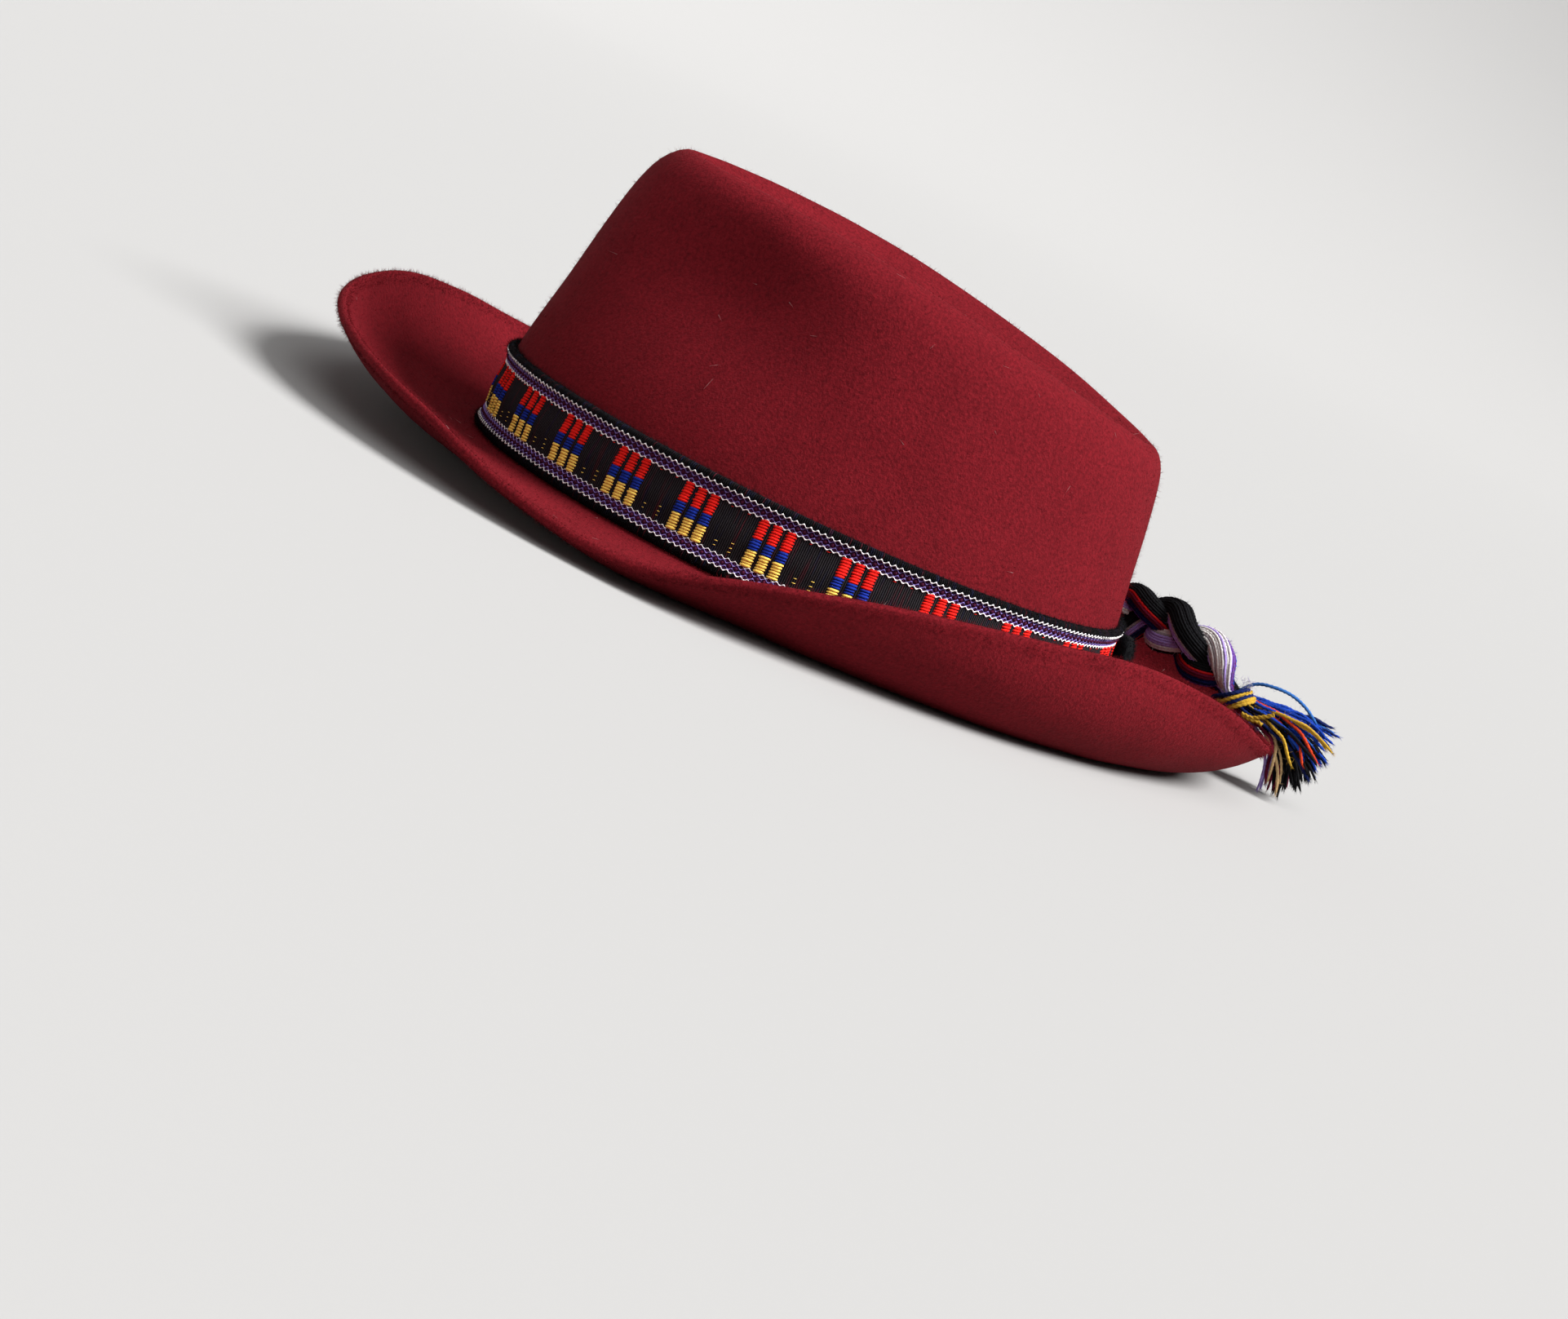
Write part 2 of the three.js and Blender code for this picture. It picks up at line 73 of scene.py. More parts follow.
WALL_INSET = np.array([0, 0.001, 0.003, 0.01, 0.035, 0.115, 0.235, 0.35, 0.46, 0.57, 0.69, 0.84, 1])
FILLET_UP, WALL_FROM = [0.002, 0.005, 0.011, 0.03], 0.06
EDGE_ROUND, EDGE_ROWS = 0.7, 3
FELT_SMOOTHING = 3
FELT_UNEVEN, FELT_WAVES, FELT_WAVELENGTH, WAVE_RATES = 0.13, 14, 34.0, (0.6, 1.7)
FELT_SEED = 3


def table_value(places, values, place):
    """Smooth value between a table's rows: a cubic whose slope at each row is the mean of both sides."""
    steps = np.diff(values) / np.diff(places)
    slopes = np.concatenate([steps[:1], (steps[1:] + steps[:-1]) / 2, steps[-1:]])
    low = np.clip(np.searchsorted(places, place) - 1, 0, len(places) - 2)
    width = places[low + 1] - places[low]
    share = (place - places[low]) / width
    rise = values[low + 1] - values[low]
    slope_in, slope_out = slopes[low] * width, slopes[low + 1] * width
    square = 3 * rise - 2 * slope_in - slope_out
    cube = slope_in + slope_out - 2 * rise
    return values[low] + share * (slope_in + share * (square + share * cube))


brim_table = dict(zip(BRIM_NAMES, np.array(BRIM_ROWS, float).T))


def round_value(left_name, right_name, turn):
    """Value at a turn from the brim table, carried round the left side and back along the right."""
    left = brim_table[left_name]
    values = np.concatenate([left, brim_table[right_name][-2::-1]])
    places = np.concatenate([brim_table["turn"], 360 - brim_table["turn"][-2::-1]])
    wrapped = np.concatenate([values[-3:-1], values, values[1:3]])
    spread = np.concatenate([places[-3:-1] - 360, places, places[1:3] + 360])
    return table_value(spread, wrapped, np.mod(turn, 360))


def unit(vectors):
    """Each vector divided by its length."""
    return vectors / np.maximum(np.linalg.norm(vectors, axis=-1, keepdims=True), TINY)


def foot(turn):
    """Egg-shaped oval where the crown meets the brim, by turn in degrees from the front toward the left."""
    angle = np.radians(turn)
    x = FOOT_HALF_WIDTH * np.sin(angle) * (1 - FOOT_EGG * np.cos(angle))
    y = CROWN_MIDDLE_Y - FOOT_HALF_LENGTH * np.cos(angle)
    return np.stack([x, y, np.full_like(x, FOOT_Z)], -1)


def foot_out(turn):
    """Level direction square to the foot oval, pointing away from the crown."""
    along = foot(turn + NEAR_TURN) - foot(turn - NEAR_TURN)
    return unit(np.stack([along[..., 1], -along[..., 0], np.zeros_like(turn)], -1))


def ridge_height(from_middle):
    """Height of the ridge: a line that falls toward the back, bowed downward at both ends."""
    return RIDGE_Z - RIDGE_SLOPE * from_middle - RIDGE_BOW * from_middle**2


def ridge(turn):
    """Egg-shaped oval round the top of the crown, narrower at the front."""
    ahead = np.cos(np.radians(turn))
    narrow = 1 - RIDGE_TAPER * ahead - RIDGE_POINT * ahead**2
    from_middle = -RIDGE_HALF_LENGTH * ahead
    x = RIDGE_HALF_WIDTH * np.sin(np.radians(turn)) * narrow
    return np.stack([x, CROWN_MIDDLE_Y + RIDGE_MIDDLE_Y + from_middle, ridge_height(from_middle)], -1)


def wall(turn, up):
    """Crown wall: the foot oval leaning toward the ridge by the wall table, flared by an elliptical fillet
    at the foot and pressed in by a bell-shaped finger dent on each side of the front."""
    turn, up = np.broadcast_arrays(np.asarray(turn, float), np.asarray(up, float))
    low, high = foot(turn), ridge(turn)
    point = low + (high - low) * table_value(WALL_UP, WALL_INSET, up)[..., None]
    point[..., 2] = low[..., 2] + (high - low)[..., 2] * up
    drop = 1 - np.minimum((point[..., 2] - FOOT_Z) / FILLET_HIGH, 1)
    flare = FILLET_WIDE * (1 - np.sqrt(1 - drop**2))
    aside = (np.abs(np.mod(turn + 180, 360) - 180) - DENT_TURN) / DENT_TURN_SPREAD
    above = (up - DENT_UP) / DENT_UP_SPREAD
    dent = DENT_DEPTH * np.exp(-(aside**2) - above**2) * (1 - up**DENT_FADE)
    return point + foot_out(turn) * (flare - dent)[..., None]


def brim(turn, share):
    """Brim's top face from the fillet at share 0 to the edge at 1: the felt's slope grows as a power of the
    way out, and its cosine and sine are added up to the reach and the rise."""
    turn, share = np.broadcast_arrays(np.asarray(turn, float), np.asarray(share, float))
    start = round_value("start", "start", turn)
    gain = round_value("left_edge", "right_edge", turn) - start
    steps = (np.arange(BRIM_STEPS) + 0.5) / BRIM_STEPS
    slope = np.radians(start[..., None] + gain[..., None] * (share[..., None] * steps) ** BRIM_CURL)
    length = share * round_value("left_width", "right_width", turn)
    point = foot(turn) + foot_out(turn) * (FILLET_WIDE + length * np.cos(slope).mean(-1))[..., None]
    point[..., 2] += length * np.sin(slope).mean(-1)
    return point


def top(turn, share):
    """Crown top from the crease line at share 0 to the ridge at 1, rising as a power of the way."""
    turn, share = np.broadcast_arrays(np.asarray(turn, float), np.asarray(share, float))
    high = ridge(turn)
    ahead = np.cos(np.radians(turn))
    from_middle = -CREASE_HALF_LENGTH * ahead
    depth = CREASE_DEPTH * (1 - CREASE_FADE * ahead**2)
    crease_y = CROWN_MIDDLE_Y + RIDGE_MIDDLE_Y + from_middle
    low = np.stack([np.zeros_like(ahead), crease_y, ridge_height(from_middle) - depth], -1)
    point = low + (high - low) * share[..., None]
    point[..., 2] = low[..., 2] + (high - low)[..., 2] * share**CREASE_CURVE
    return point


def grid_out(grid):
    """Outward direction over a grid that is closed round: the cross product of its two directions."""
    around = np.roll(grid, -1, 1) - np.roll(grid, 1, 1)
    return unit(np.cross(around, np.gradient(grid, axis=0)))


def point_numbers(grid):
    """Running number of each point of a grid."""
    return np.arange(grid[..., 0].size).reshape(grid.shape[:-1])


def unevenness(points, count, wavelength, random):
    """Smooth random height over space: a sum of plane waves in random directions."""
    waves = unit(random.normal(size=(count, 3))) * 2 * np.pi / wavelength
    waves *= random.uniform(*WAVE_RATES, (count, 1))
    phases = random.uniform(0, 2 * np.pi, count)
    return np.sin(points @ waves.T + phases).sum(-1) / np.sqrt(count)


def new_piece(name, points, groups, materials):
    """Mesh object from points in millimetres and groups of (corners, material number, flat places)."""
    mesh = bpy.data.meshes.new(name)
    mesh.vertices.add(len(points))
    mesh.vertices.foreach_set("co", (np.asarray(points) * MM).astype(np.float32).ravel())
    corners = np.concatenate([group[0].ravel() for group in groups]).astype(np.int32)
    sizes = np.concatenate([np.full(len(group[0]), group[0].shape[1]) for group in groups])
    numbers = np.concatenate([np.broadcast_to(group[1], len(group[0])) for group in groups])
    mesh.loops.add(len(corners))
    mesh.loops.foreach_set("vertex_index", corners)
    mesh.polygons.add(len(sizes))
    mesh.polygons.foreach_set("loop_start", (np.cumsum(sizes) - sizes).astype(np.int32))
    for material in materials:
        mesh.materials.append(material)
    mesh.polygons.foreach_set("material_index", numbers.astype(np.int32))
    mesh.polygons.foreach_set("use_smooth", np.ones(len(sizes), bool))
    if len(groups[0]) > 2:
        places = np.concatenate([group[2].reshape(-1, 2) for group in groups])
        layer = mesh.uv_layers.new(name="flat_cloth")
        layer.data.foreach_set("uv", places.astype(np.float32).ravel())
    mesh.update(calc_edges=True)
    made = bpy.data.objects.new(name, mesh)
    bpy.context.scene.collection.objects.link(made)
    return made


def dye(red, green, blue):
    """Scene colour of a dye from its screen values of 0 to 255, by the usual power curve of a screen."""
    screen = np.array([red, green, blue]) / 255
    return (*((screen + 0.055) / 1.055) ** 2.4, 1.0)


CLOTH_ROUGHNESS, CLOTH_SHINE, SHEEN_ROUGHNESS = 0.92, 0.06, 0.45


class Cloth:
    """Matt cloth material with its fuzz as an even sheen, and the steps that vary its colour and bump."""

    def __init__(self, name, colour, sheen, sheen_dye):
        self.material = bpy.data.materials.new(name)
        self.material.use_nodes = True
        self.tree = self.material.node_tree
        self.shader = self.tree.nodes["Principled BSDF"]
        self.fill(self.shader, {
            "Base Color": colour, "Roughness": CLOTH_ROUGHNESS, "Specular IOR Level": CLOTH_SHINE,
            "Sheen Weight": sheen, "Sheen Roughness": SHEEN_ROUGHNESS, "Sheen Tint": sheen_dye,
        })

    def fill(self, node, inputs):
        """Set each input of a node to a value, or link it to another node's output."""
        for socket, value in inputs.items():
            if isinstance(value, bpy.types.NodeSocket):
                self.tree.links.new(value, node.inputs[socket])
            else:
                node.inputs[socket].default_value = value

    def add(self, kind, inputs, **settings):
        """New node with its settings made first, since they decide which inputs it has."""
        node = self.tree.nodes.new(kind)
        for setting, value in settings.items():
            setattr(node, setting, value)
        self.fill(node, inputs)
        return node

    def noise(self, place, scale, detail, roughness=0.5):
        """Soft random value from 0 to 1 over a place."""
        inputs = {"Vector": place, "Scale": scale, "Detail": detail, "Roughness": roughness}
        return self.add("ShaderNodeTexNoise", inputs).outputs["Fac"]

    def remap(self, value, old=(0, 1), new=(0, 1)):
        """Value carried from an old range to a new one in proportion, and held at its ends."""
        inputs = {"Value": value, "From Min": old[0], "From Max": old[1], "To Min": new[0], "To Max": new[1]}
        return self.add("ShaderNodeMapRange", inputs).outputs["Result"]

    def mix(self, share, first, second):
        """Colour between two, by the share of the second."""
        inputs = {"Factor": share, "A": first, "B": second}
        return self.add("ShaderNodeMix", inputs, data_type="RGBA").outputs["Result"]

    def times(self, colour, tone):
        """Colour multiplied by a tone."""
        return self.add("ShaderNodeVectorMath", {0: colour, 1: tone}, operation="MULTIPLY").outputs["Vector"]

    def sums(self, first, second, operation="ADD"):
        """Two values added, or joined by another sum."""
        return self.add("ShaderNodeMath", {0: first, 1: second}, operation=operation).outputs[0]

    def finish(self, colours, height, strength, distance):
        """The material with its varied colours, and with a height as a bump."""
        bump = self.add("ShaderNodeBump", {"Height": height, "Strength": strength, "Distance": distance})
        self.fill(self.shader, {"Base Color": colours, "Normal": bump.outputs["Normal"]})
        return self.material


felt_columns = np.arange(FELT_COLUMNS) * 360 / FELT_COLUMNS
brim_rows = np.linspace(0, 1, BRIM_LINES)[:, None]
wall_rows = np.concatenate([FILLET_UP, np.linspace(WALL_FROM, 1, WALL_LINES)])[:, None]
top_rows = np.linspace(0, 1, TOP_LINES)[1:, None]
felt_outer = np.concatenate([
    brim(felt_columns, 1 - brim_rows),
    wall(felt_columns, wall_rows),
    top(felt_columns, 1 - top_rows),
])
for _ in range(FELT_SMOOTHING):
    felt_outer[1:-1] = (felt_outer[:-2] + 2 * felt_outer[1:-1] + felt_outer[2:]) / 4
felt_random = np.random.default_rng(FELT_SEED)
felt_lump = FELT_UNEVEN * unevenness(felt_outer, FELT_WAVES, FELT_WAVELENGTH, felt_random)
felt_outer[:-1] += (grid_out(felt_outer) * felt_lump[..., None])[:-1]
felt_out = grid_out(felt_outer)
felt_out[-1] = (0, 0, 1)
felt_inner = (felt_outer - FELT_THICKNESS * felt_out)[::2]
felt_inner[..., 2] = np.maximum(felt_inner[..., 2], 0)
felt_inner[-1, :, 0] = 0
edge_angle = np.pi * np.arange(1, EDGE_ROWS + 1)[:, None, None] / (EDGE_ROWS + 1)
edge_middle = (felt_outer[0] + felt_inner[0]) / 2
edge_half = (felt_outer[0] - felt_inner[0]) / 2
edge_reach = unit(felt_outer[0] - felt_outer[1]) * EDGE_ROUND
felt_edge = edge_middle - edge_half * np.cos(edge_angle) + edge_reach * np.sin(edge_angle)
felt_stack = np.concatenate([felt_inner[::-1], felt_edge, felt_outer])
felt_index = point_numbers(felt_stack)
crease_fold = np.minimum(np.arange(FELT_COLUMNS), FELT_COLUMNS - np.arange(FELT_COLUMNS))
felt_index[[0, -1]] = felt_index[[0, -1]][:, crease_fold]


def grid_quads(index):
    """Corner indices of a grid's quads, closed round its rows."""
    here, ahead = index[:-1], index[1:]
    return np.stack([here, np.roll(here, -1, 1), np.roll(ahead, -1, 1), ahead], -1).reshape(-1, 4)


felt_used, felt_corners = np.unique(grid_quads(felt_index), return_inverse=True)

FELT_DEEP, FELT_RED, FELT_PALE = dye(80, 12, 19), dye(109, 20, 28), dye(137, 46, 52)
FELT_SHEEN, FELT_SHEEN_DYE = 0.07, dye(206, 62, 74)


def felt_material():
    """Red felt: matted fibre as two sizes of noise in colour and bump, with broad faint cloudiness."""
    felt = Cloth("red_wool_felt", FELT_RED, FELT_SHEEN, FELT_SHEEN_DYE)
    place = felt.add("ShaderNodeTexCoord", {}).outputs["Object"]
    cloud = felt.noise(place, scale=75.0, detail=3.0)
    fibre = felt.noise(place, scale=1500.0, detail=4.0, roughness=0.7)
    mottle = felt.noise(place, scale=1000.0, detail=5.0, roughness=0.6)
    tone = felt.add("ShaderNodeValToRGB", {"Fac": mottle})
    for end, position, colour in zip(tone.color_ramp.elements, (0.3, 0.68), (FELT_DEEP, FELT_RED)):
        end.position = position
        end.color = colour
    speck = felt.remap(fibre, old=(0.58, 0.8), new=(0, 0.5))
    flecked = felt.mix(speck, tone.outputs["Color"], FELT_PALE)
    clouded = felt.times(flecked, felt.remap(cloud, old=(0.3, 0.7), new=(0.93, 1.06)))
    return felt.finish(clouded, felt.sums(fibre, mottle), strength=0.7, distance=0.0005)


felt_red = felt_material()
felt_body = new_piece(
    "felt_body", felt_stack.reshape(-1, 3)[felt_used], [(felt_corners.reshape(-1, 4), 0)], [felt_red]
)
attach(felt_body, "root")
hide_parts("crown_and_brim")

# Felt nap
# Loose wool fibre stands up from the felt as a short fuzz, thickest on the raw edge of the brim. A few pale
# threads of lint lie on it.
NAP_SEED = 11
NAP_EVEN, NAP_EDGE = 26000, 20000
NAP_LENGTH, NAP_WIDTH = (0.4, 1.9), 0.09
NAP_RISE = 0.55
HAIR_POINTS, HAIR_FACES = 4, np.array([(0, 2, 1), (0, 1, 3), (1, 2, 3), (2, 0, 3)])
LINT_COUNT, LINT_LENGTH, LINT_WIDTH, LINT_RISE = 150, (1.2, 5.0), 0.05, 0.1
LINT_PALE = dye(172, 124, 124)


def scatter(grid, out, count, random):
    """Random points on a grid that is closed round, even over its area, with their outward directions."""
    here, ahead = grid[:-1], grid[1:]
    beside = np.roll(here, -1, 1)
    area = np.linalg.norm(np.cross(beside - here, ahead - here), axis=-1).ravel()
    cell = random.choice(area.size, count, p=area / area.sum())
    row, column = np.divmod(cell, grid.shape[1])
    next_column = (column + 1) % grid.shape[1]
    up, round_ = random.uniform(size=(2, count, 1))

    def blend(values):
        """Values between the four corners of each point's cell, in proportion both ways."""
        low = values[row, column] * (1 - round_) + values[row, next_column] * round_
        high = values[row + 1, column] * (1 - round_) + values[row + 1, next_column] * round_
        return low * (1 - up) + high * up

    return blend(grid), unit(blend(out))


def hairs(roots, directions, lengths, width, random):
    """Fibres as closed thin spikes: three root corners square to each direction, and one tip."""
    side = unit(np.cross(directions, random.normal(size=directions.shape)))
    angle = np.array([0, 2, 4])[:, None, None] * np.pi / 3
    ring = roots + (side * np.cos(angle) + np.cross(directions, side) * np.sin(angle)) * width
    tips = roots + directions * lengths[:, None]
    points = np.concatenate([ring, tips[None]]).transpose(1, 0, 2).reshape(-1, 3)
    first = np.arange(len(roots))[:, None, None] * HAIR_POINTS
    return points, (first + HAIR_FACES).reshape(-1, 3)


def joined(points, groups, more_points, more_groups):
    """Points and face groups of two meshes as one: the second's corner numbers go on from the first's."""
    shifted = [(faces + len(points), numbers) for faces, numbers in more_groups]
    return np.concatenate([points, more_points]), groups + shifted


nap_random = np.random.default_rng(NAP_SEED)
edge_grid = np.concatenate([felt_inner[1::-1], felt_edge, felt_outer[:3]])
even_roots, even_out = scatter(felt_outer, felt_out, NAP_EVEN, nap_random)
edge_roots, edge_out = scatter(edge_grid, grid_out(edge_grid), NAP_EDGE, nap_random)
nap_roots = np.concatenate([even_roots, edge_roots])
nap_lie = nap_random.normal(size=nap_roots.shape)
nap_way = unit(np.concatenate([even_out, edge_out]) * NAP_RISE + unit(nap_lie) * (1 - NAP_RISE))
nap_long = nap_random.uniform(*NAP_LENGTH, len(nap_roots))
nap_points, nap_faces = hairs(nap_roots, nap_way, nap_long, NAP_WIDTH / 2, nap_random)
lint_roots, lint_out = scatter(felt_outer, felt_out, LINT_COUNT, nap_random)
lint_lie = unit(np.cross(lint_out, nap_random.normal(size=lint_out.shape)))
lint_long = nap_random.uniform(*LINT_LENGTH, LINT_COUNT)
lint_way = unit(lint_lie + LINT_RISE * lint_out)
lint_roots += LINT_WIDTH * lint_out
lint_points, lint_faces = hairs(lint_roots, lint_way, lint_long, LINT_WIDTH, nap_random)
nap_points, nap_groups = joined(nap_points, [(nap_faces, 0)], lint_points, [(lint_faces, 1)])
nap_points[:, 2] = np.maximum(nap_points[:, 2], 0)
lint_pale = Cloth("pale_lint", LINT_PALE, sheen=0.1, sheen_dye=LINT_PALE).material
felt_nap = new_piece("felt_nap", nap_points, nap_groups, [felt_red, lint_pale])
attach(felt_nap, "root")

# Woven belt, ground cloth
# A narrow black belt woven on a small loom lies tight round the foot of the crown. Its ground is black with
# a few maroon and navy warp threads, two plum border stripes, and rolled black selvedges.
BELT_GAP, BELT_LOW, BELT_HEIGHT, BELT_STRAIGHT = 0.62, 0.8, 25.0, 2.5
BELT_MIDDLE, BELT_FACE, BELT_CUT_LENGTH = 13.3, 1.0, 580.0
BELT_COLUMNS, BELT_ROWS, BELT_TURN_STEPS = 1200, 34, 2881
BELT_ACROSS = np.array([0, 0.03, 0.07, 0.1, 0.13, 0.5, 0.87, 0.9, 0.93, 0.97, 1])
BELT_THICK = np.array([0.5, 1.2, 1.45, 1.2, 0.75, 0.75, 0.75, 1.25, 1.75, 1.7, 0.6])
BELT_BACK = np.array([0.97, 0.75, 0.5, 0.25, 0.03])
BELT_BACK_CLEAR = 0.3
BELT_BLACK, SELVEDGE_BLACK, BELT_PLUM = dye(28, 26, 28), dye(8, 8, 9), dye(56, 26, 56)
BELT_MAROON, BELT_NAVY = dye(58, 17, 24), dye(17, 19, 38)
BELT_SHEEN, BELT_SHEEN_DYE = 0.03, dye(150, 140, 160)
LOWER_STRIPE, UPPER_STRIPE = (3.6, 6.5), (20.6, 23.5)
RIB_PITCH, WAVE_BANDS = 0.62, 10

belt_turns = np.linspace(0, 360, BELT_TURN_STEPS)


def belt_on_wall(turn, lift, clear):
    """Point of the belt: a lift above the foot, a clearance out from the felt, upright below its straight
    height."""
    turn, lift, clear = np.broadcast_arrays(turn, lift, clear)
    level = np.maximum(lift, BELT_STRAIGHT)
    up = level / (ridge(turn)[..., 2] - FOOT_Z)
    around = wall(turn + NEAR_TURN, up) - wall(turn - NEAR_TURN, up)
    rise = wall(turn, up + NEAR_UP) - wall(turn, up - NEAR_UP)
    point = wall(turn, up) + unit(np.cross(around, rise)) * clear[..., None]
    point[..., 2] += lift - level
    return point


def arc_length(lines):
    """Length from the start of a line, or of each of many, to each of its points."""
    steps = np.linalg.norm(np.diff(lines, axis=-2), axis=-1)
    return np.concatenate([np.zeros((*lines.shape[:-2], 1)), np.cumsum(steps, axis=-1)], -1)


belt_arc = arc_length(belt_on_wall(belt_turns, BELT_MIDDLE, BELT_GAP + BELT_FACE))
belt_length = belt_arc[-1]


def wrap_belt(flat):
    """Flat belt places (along, lift, clearance, in millimetres) laid round the crown."""
    turn = np.interp(np.mod(flat[..., 0], belt_length), belt_arc, belt_turns)
    return belt_on_wall(turn, flat[..., 1], flat[..., 2])


def belt_clear(lift):
    """Clearance of the ground cloth's face at a lift, thicker in the rolled selvedges."""
    return BELT_GAP + table_value(BELT_ACROSS, BELT_THICK, (lift - BELT_LOW) / BELT_HEIGHT)


front_lift = BELT_LOW + BELT_HEIGHT * np.linspace(0, 1, BELT_ROWS)
ring_lift = np.concatenate([front_lift, BELT_LOW + BELT_HEIGHT * BELT_BACK])
ring_clear = np.concatenate([belt_clear(front_lift), np.full(len(BELT_BACK), BELT_BACK_CLEAR)])
belt_along = np.arange(BELT_COLUMNS) * belt_length / BELT_COLUMNS
belt_flat = np.stack(np.broadcast_arrays(belt_along, ring_lift[:, None], ring_clear[:, None]), -1)
belt_points = wrap_belt(belt_flat)
belt_index = point_numbers(belt_points)
belt_quads = grid_quads(np.concatenate([belt_index, belt_index[:1]]))
cell_along = belt_along[:, None] + np.array([0, 1, 1, 0]) * belt_length / BELT_COLUMNS
cell_lift = np.concatenate([ring_lift, ring_lift[:1]])
cell_lift = np.stack([cell_lift[:-1], cell_lift[:-1], cell_lift[1:], cell_lift[1:]], -1)
belt_places = np.stack(np.broadcast_arrays(cell_along, cell_lift[:, None]), -1) * MM


def belt_material():
    """Belt ground on its flat places: black with maroon and navy warps by stretched noise, plum bands under
    the two border stripes, and ribs by a wave, which at scale one has WAVE_BANDS bands in a length of pi.
    The wave is the ribs' bump, and it also paints light and shade into the colour: lighter rib tops and
    darker grooves."""
    belt = Cloth("black_belt_ground", BELT_BLACK, BELT_SHEEN, BELT_SHEEN_DYE)
    place = belt.add("ShaderNodeUVMap", {}, uv_map="flat_cloth").outputs["UV"]
    lift = belt.add("ShaderNodeSeparateXYZ", {"Vector": place}).outputs["Y"]
    bands = belt.add("ShaderNodeValToRGB", {"Fac": belt.sums(lift, (BELT_LOW + BELT_HEIGHT) * MM, "DIVIDE")})
    bands.color_ramp.interpolation = "CONSTANT"
    bands.color_ramp.elements[0].color = SELVEDGE_BLACK
    bands.color_ramp.elements[1].color = SELVEDGE_BLACK
    stops = zip((*LOWER_STRIPE, *UPPER_STRIPE), (BELT_PLUM, BELT_BLACK, BELT_PLUM, SELVEDGE_BLACK))
    for stop_lift, colour in stops:
        bands.color_ramp.elements.new(stop_lift / (BELT_LOW + BELT_HEIGHT)).color = colour
    colours = bands.outputs["Color"]
    for stretch, colour, seed in (((900, 45, 1), BELT_MAROON, 0.0), ((700, 60, 1), BELT_NAVY, 7.0)):
        spread = belt.add("ShaderNodeMapping", {"Vector": place, "Location": (seed, 0, 0), "Scale": stretch})
        thread = belt.noise(spread.outputs["Vector"], scale=1.0, detail=2.0)
        colours = belt.mix(belt.remap(thread, old=(0.56, 0.7), new=(0, 0.75)), colours, colour)
    rib_scale = np.pi / (RIB_PITCH * MM) / WAVE_BANDS
    ribs = belt.add("ShaderNodeTexWave", {
        "Vector": place, "Scale": rib_scale, "Distortion": 0.6, "Detail Scale": 2.0,
    }, bands_direction="X").outputs["Fac"]
    weave = belt.noise(place, scale=2600.0, detail=3.0)
    # Painted light and shade: the ground colour is scaled by the rib wave, lighter on the rib tops and
    # darker in the grooves
    rib_light_and_shade = belt.times(colours, belt.remap(ribs, new=(0.3, 2.6)))
    return belt.finish(rib_light_and_shade, belt.sums(ribs, weave), strength=0.9, distance=0.0003)


belt_ground = new_piece(
    "belt_ground", belt_points.reshape(-1, 3), [(belt_quads, 0, belt_places)], [belt_material()]
)
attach(belt_ground, "root")
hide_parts("band")

# Woven belt, block floats
# Each block of the pattern is three columns of short floats of wool, picked over the black ground by hand:
# red above, blue in the middle and yellow below, with a few stray flecks between the blocks.
FLOAT_SEED = 23
BLOCKS, BLOCK_COLUMNS = 24, 3
BLOCK_START = 1.964
STRETCH_SIN, STRETCH_COS = 0.028, -0.165
COLUMN_PITCH, COLUMN_WIDTH = 4.05, 3.25
FLOAT_PITCH, FLOAT_HALF, FLOAT_HIGH, FLOAT_THICK = 0.82, 0.43, 0.3, 0.25
FLOAT_SLANT, FLOAT_TAPER, FLOAT_DIVE, FLOAT_ROUND = 0.1, 0.8, 1.5, 0.9
FLOAT_SIZES, FLOAT_SHIFT, FLOAT_HEAVE = (0.85, 1.15), 0.06, 0.5
FLOAT_RINGS, FLOAT_SIDES = 5, 5
ROW_LOWEST, ROW_BLUE, ROW_RED, ROW_HIGHEST = 6.7, 11.3, 15.0, 20.3
FLOAT_YELLOW, FLOAT_RED = 0, 2
FLECK_NAMES = ("pitches", "lift", "colour")
FLECKS = [
    (0.5, 8.3, FLOAT_YELLOW),
    (0.5, 9.5, FLOAT_YELLOW),
    (0.5, 10.9, FLOAT_YELLOW),
    (-0.5, 8.4, FLOAT_YELLOW),
    (-0.5, 9.7, FLOAT_YELLOW),
    (0.62, 20.0, FLOAT_RED),
    (-0.5, 19.9, FLOAT_RED),
]
FLECK_PITCH, FLECK_WIDTH, FLECK_HALF = 4.6, 1.0, 0.1
BLOCK_STEPS = 2000


def yarn_material(name, colour, spread=0.3, sheen=0.1):
    """Dyed wool yarn: fine fibre noise drives lighter and darker tones and a small bump."""
    yarn = Cloth(name, colour, sheen, colour)
    place = yarn.add("ShaderNodeTexCoord", {}).outputs["Object"]
    fibre = yarn.noise(place, scale=1900.0, detail=3.0, roughness=0.65)
    tone = yarn.remap(fibre, old=(0.3, 0.7), new=(1 - spread, 1 + spread))
    return yarn.finish(yarn.times(colour[:3], tone), fibre, strength=0.5, distance=0.0002)


def tube_faces(tubes, rings, sides, loop=False):
    """Corner indices of many like tubes: quads by tube, and two end caps, which a loop has no use for."""
    index = np.arange(tubes * rings * sides).reshape(tubes, rings, sides)
    here = index if loop else index[:, :-1]
    ahead = np.roll(index, -1, 1) if loop else index[:, 1:]
    quads = np.stack([here, np.roll(here, -1, 2), np.roll(ahead, -1, 2), ahead], -1)
    caps = np.stack([index[:, 0, ::-1], index[:, -1]], 1)
    return quads.reshape(tubes, -1, 4), caps


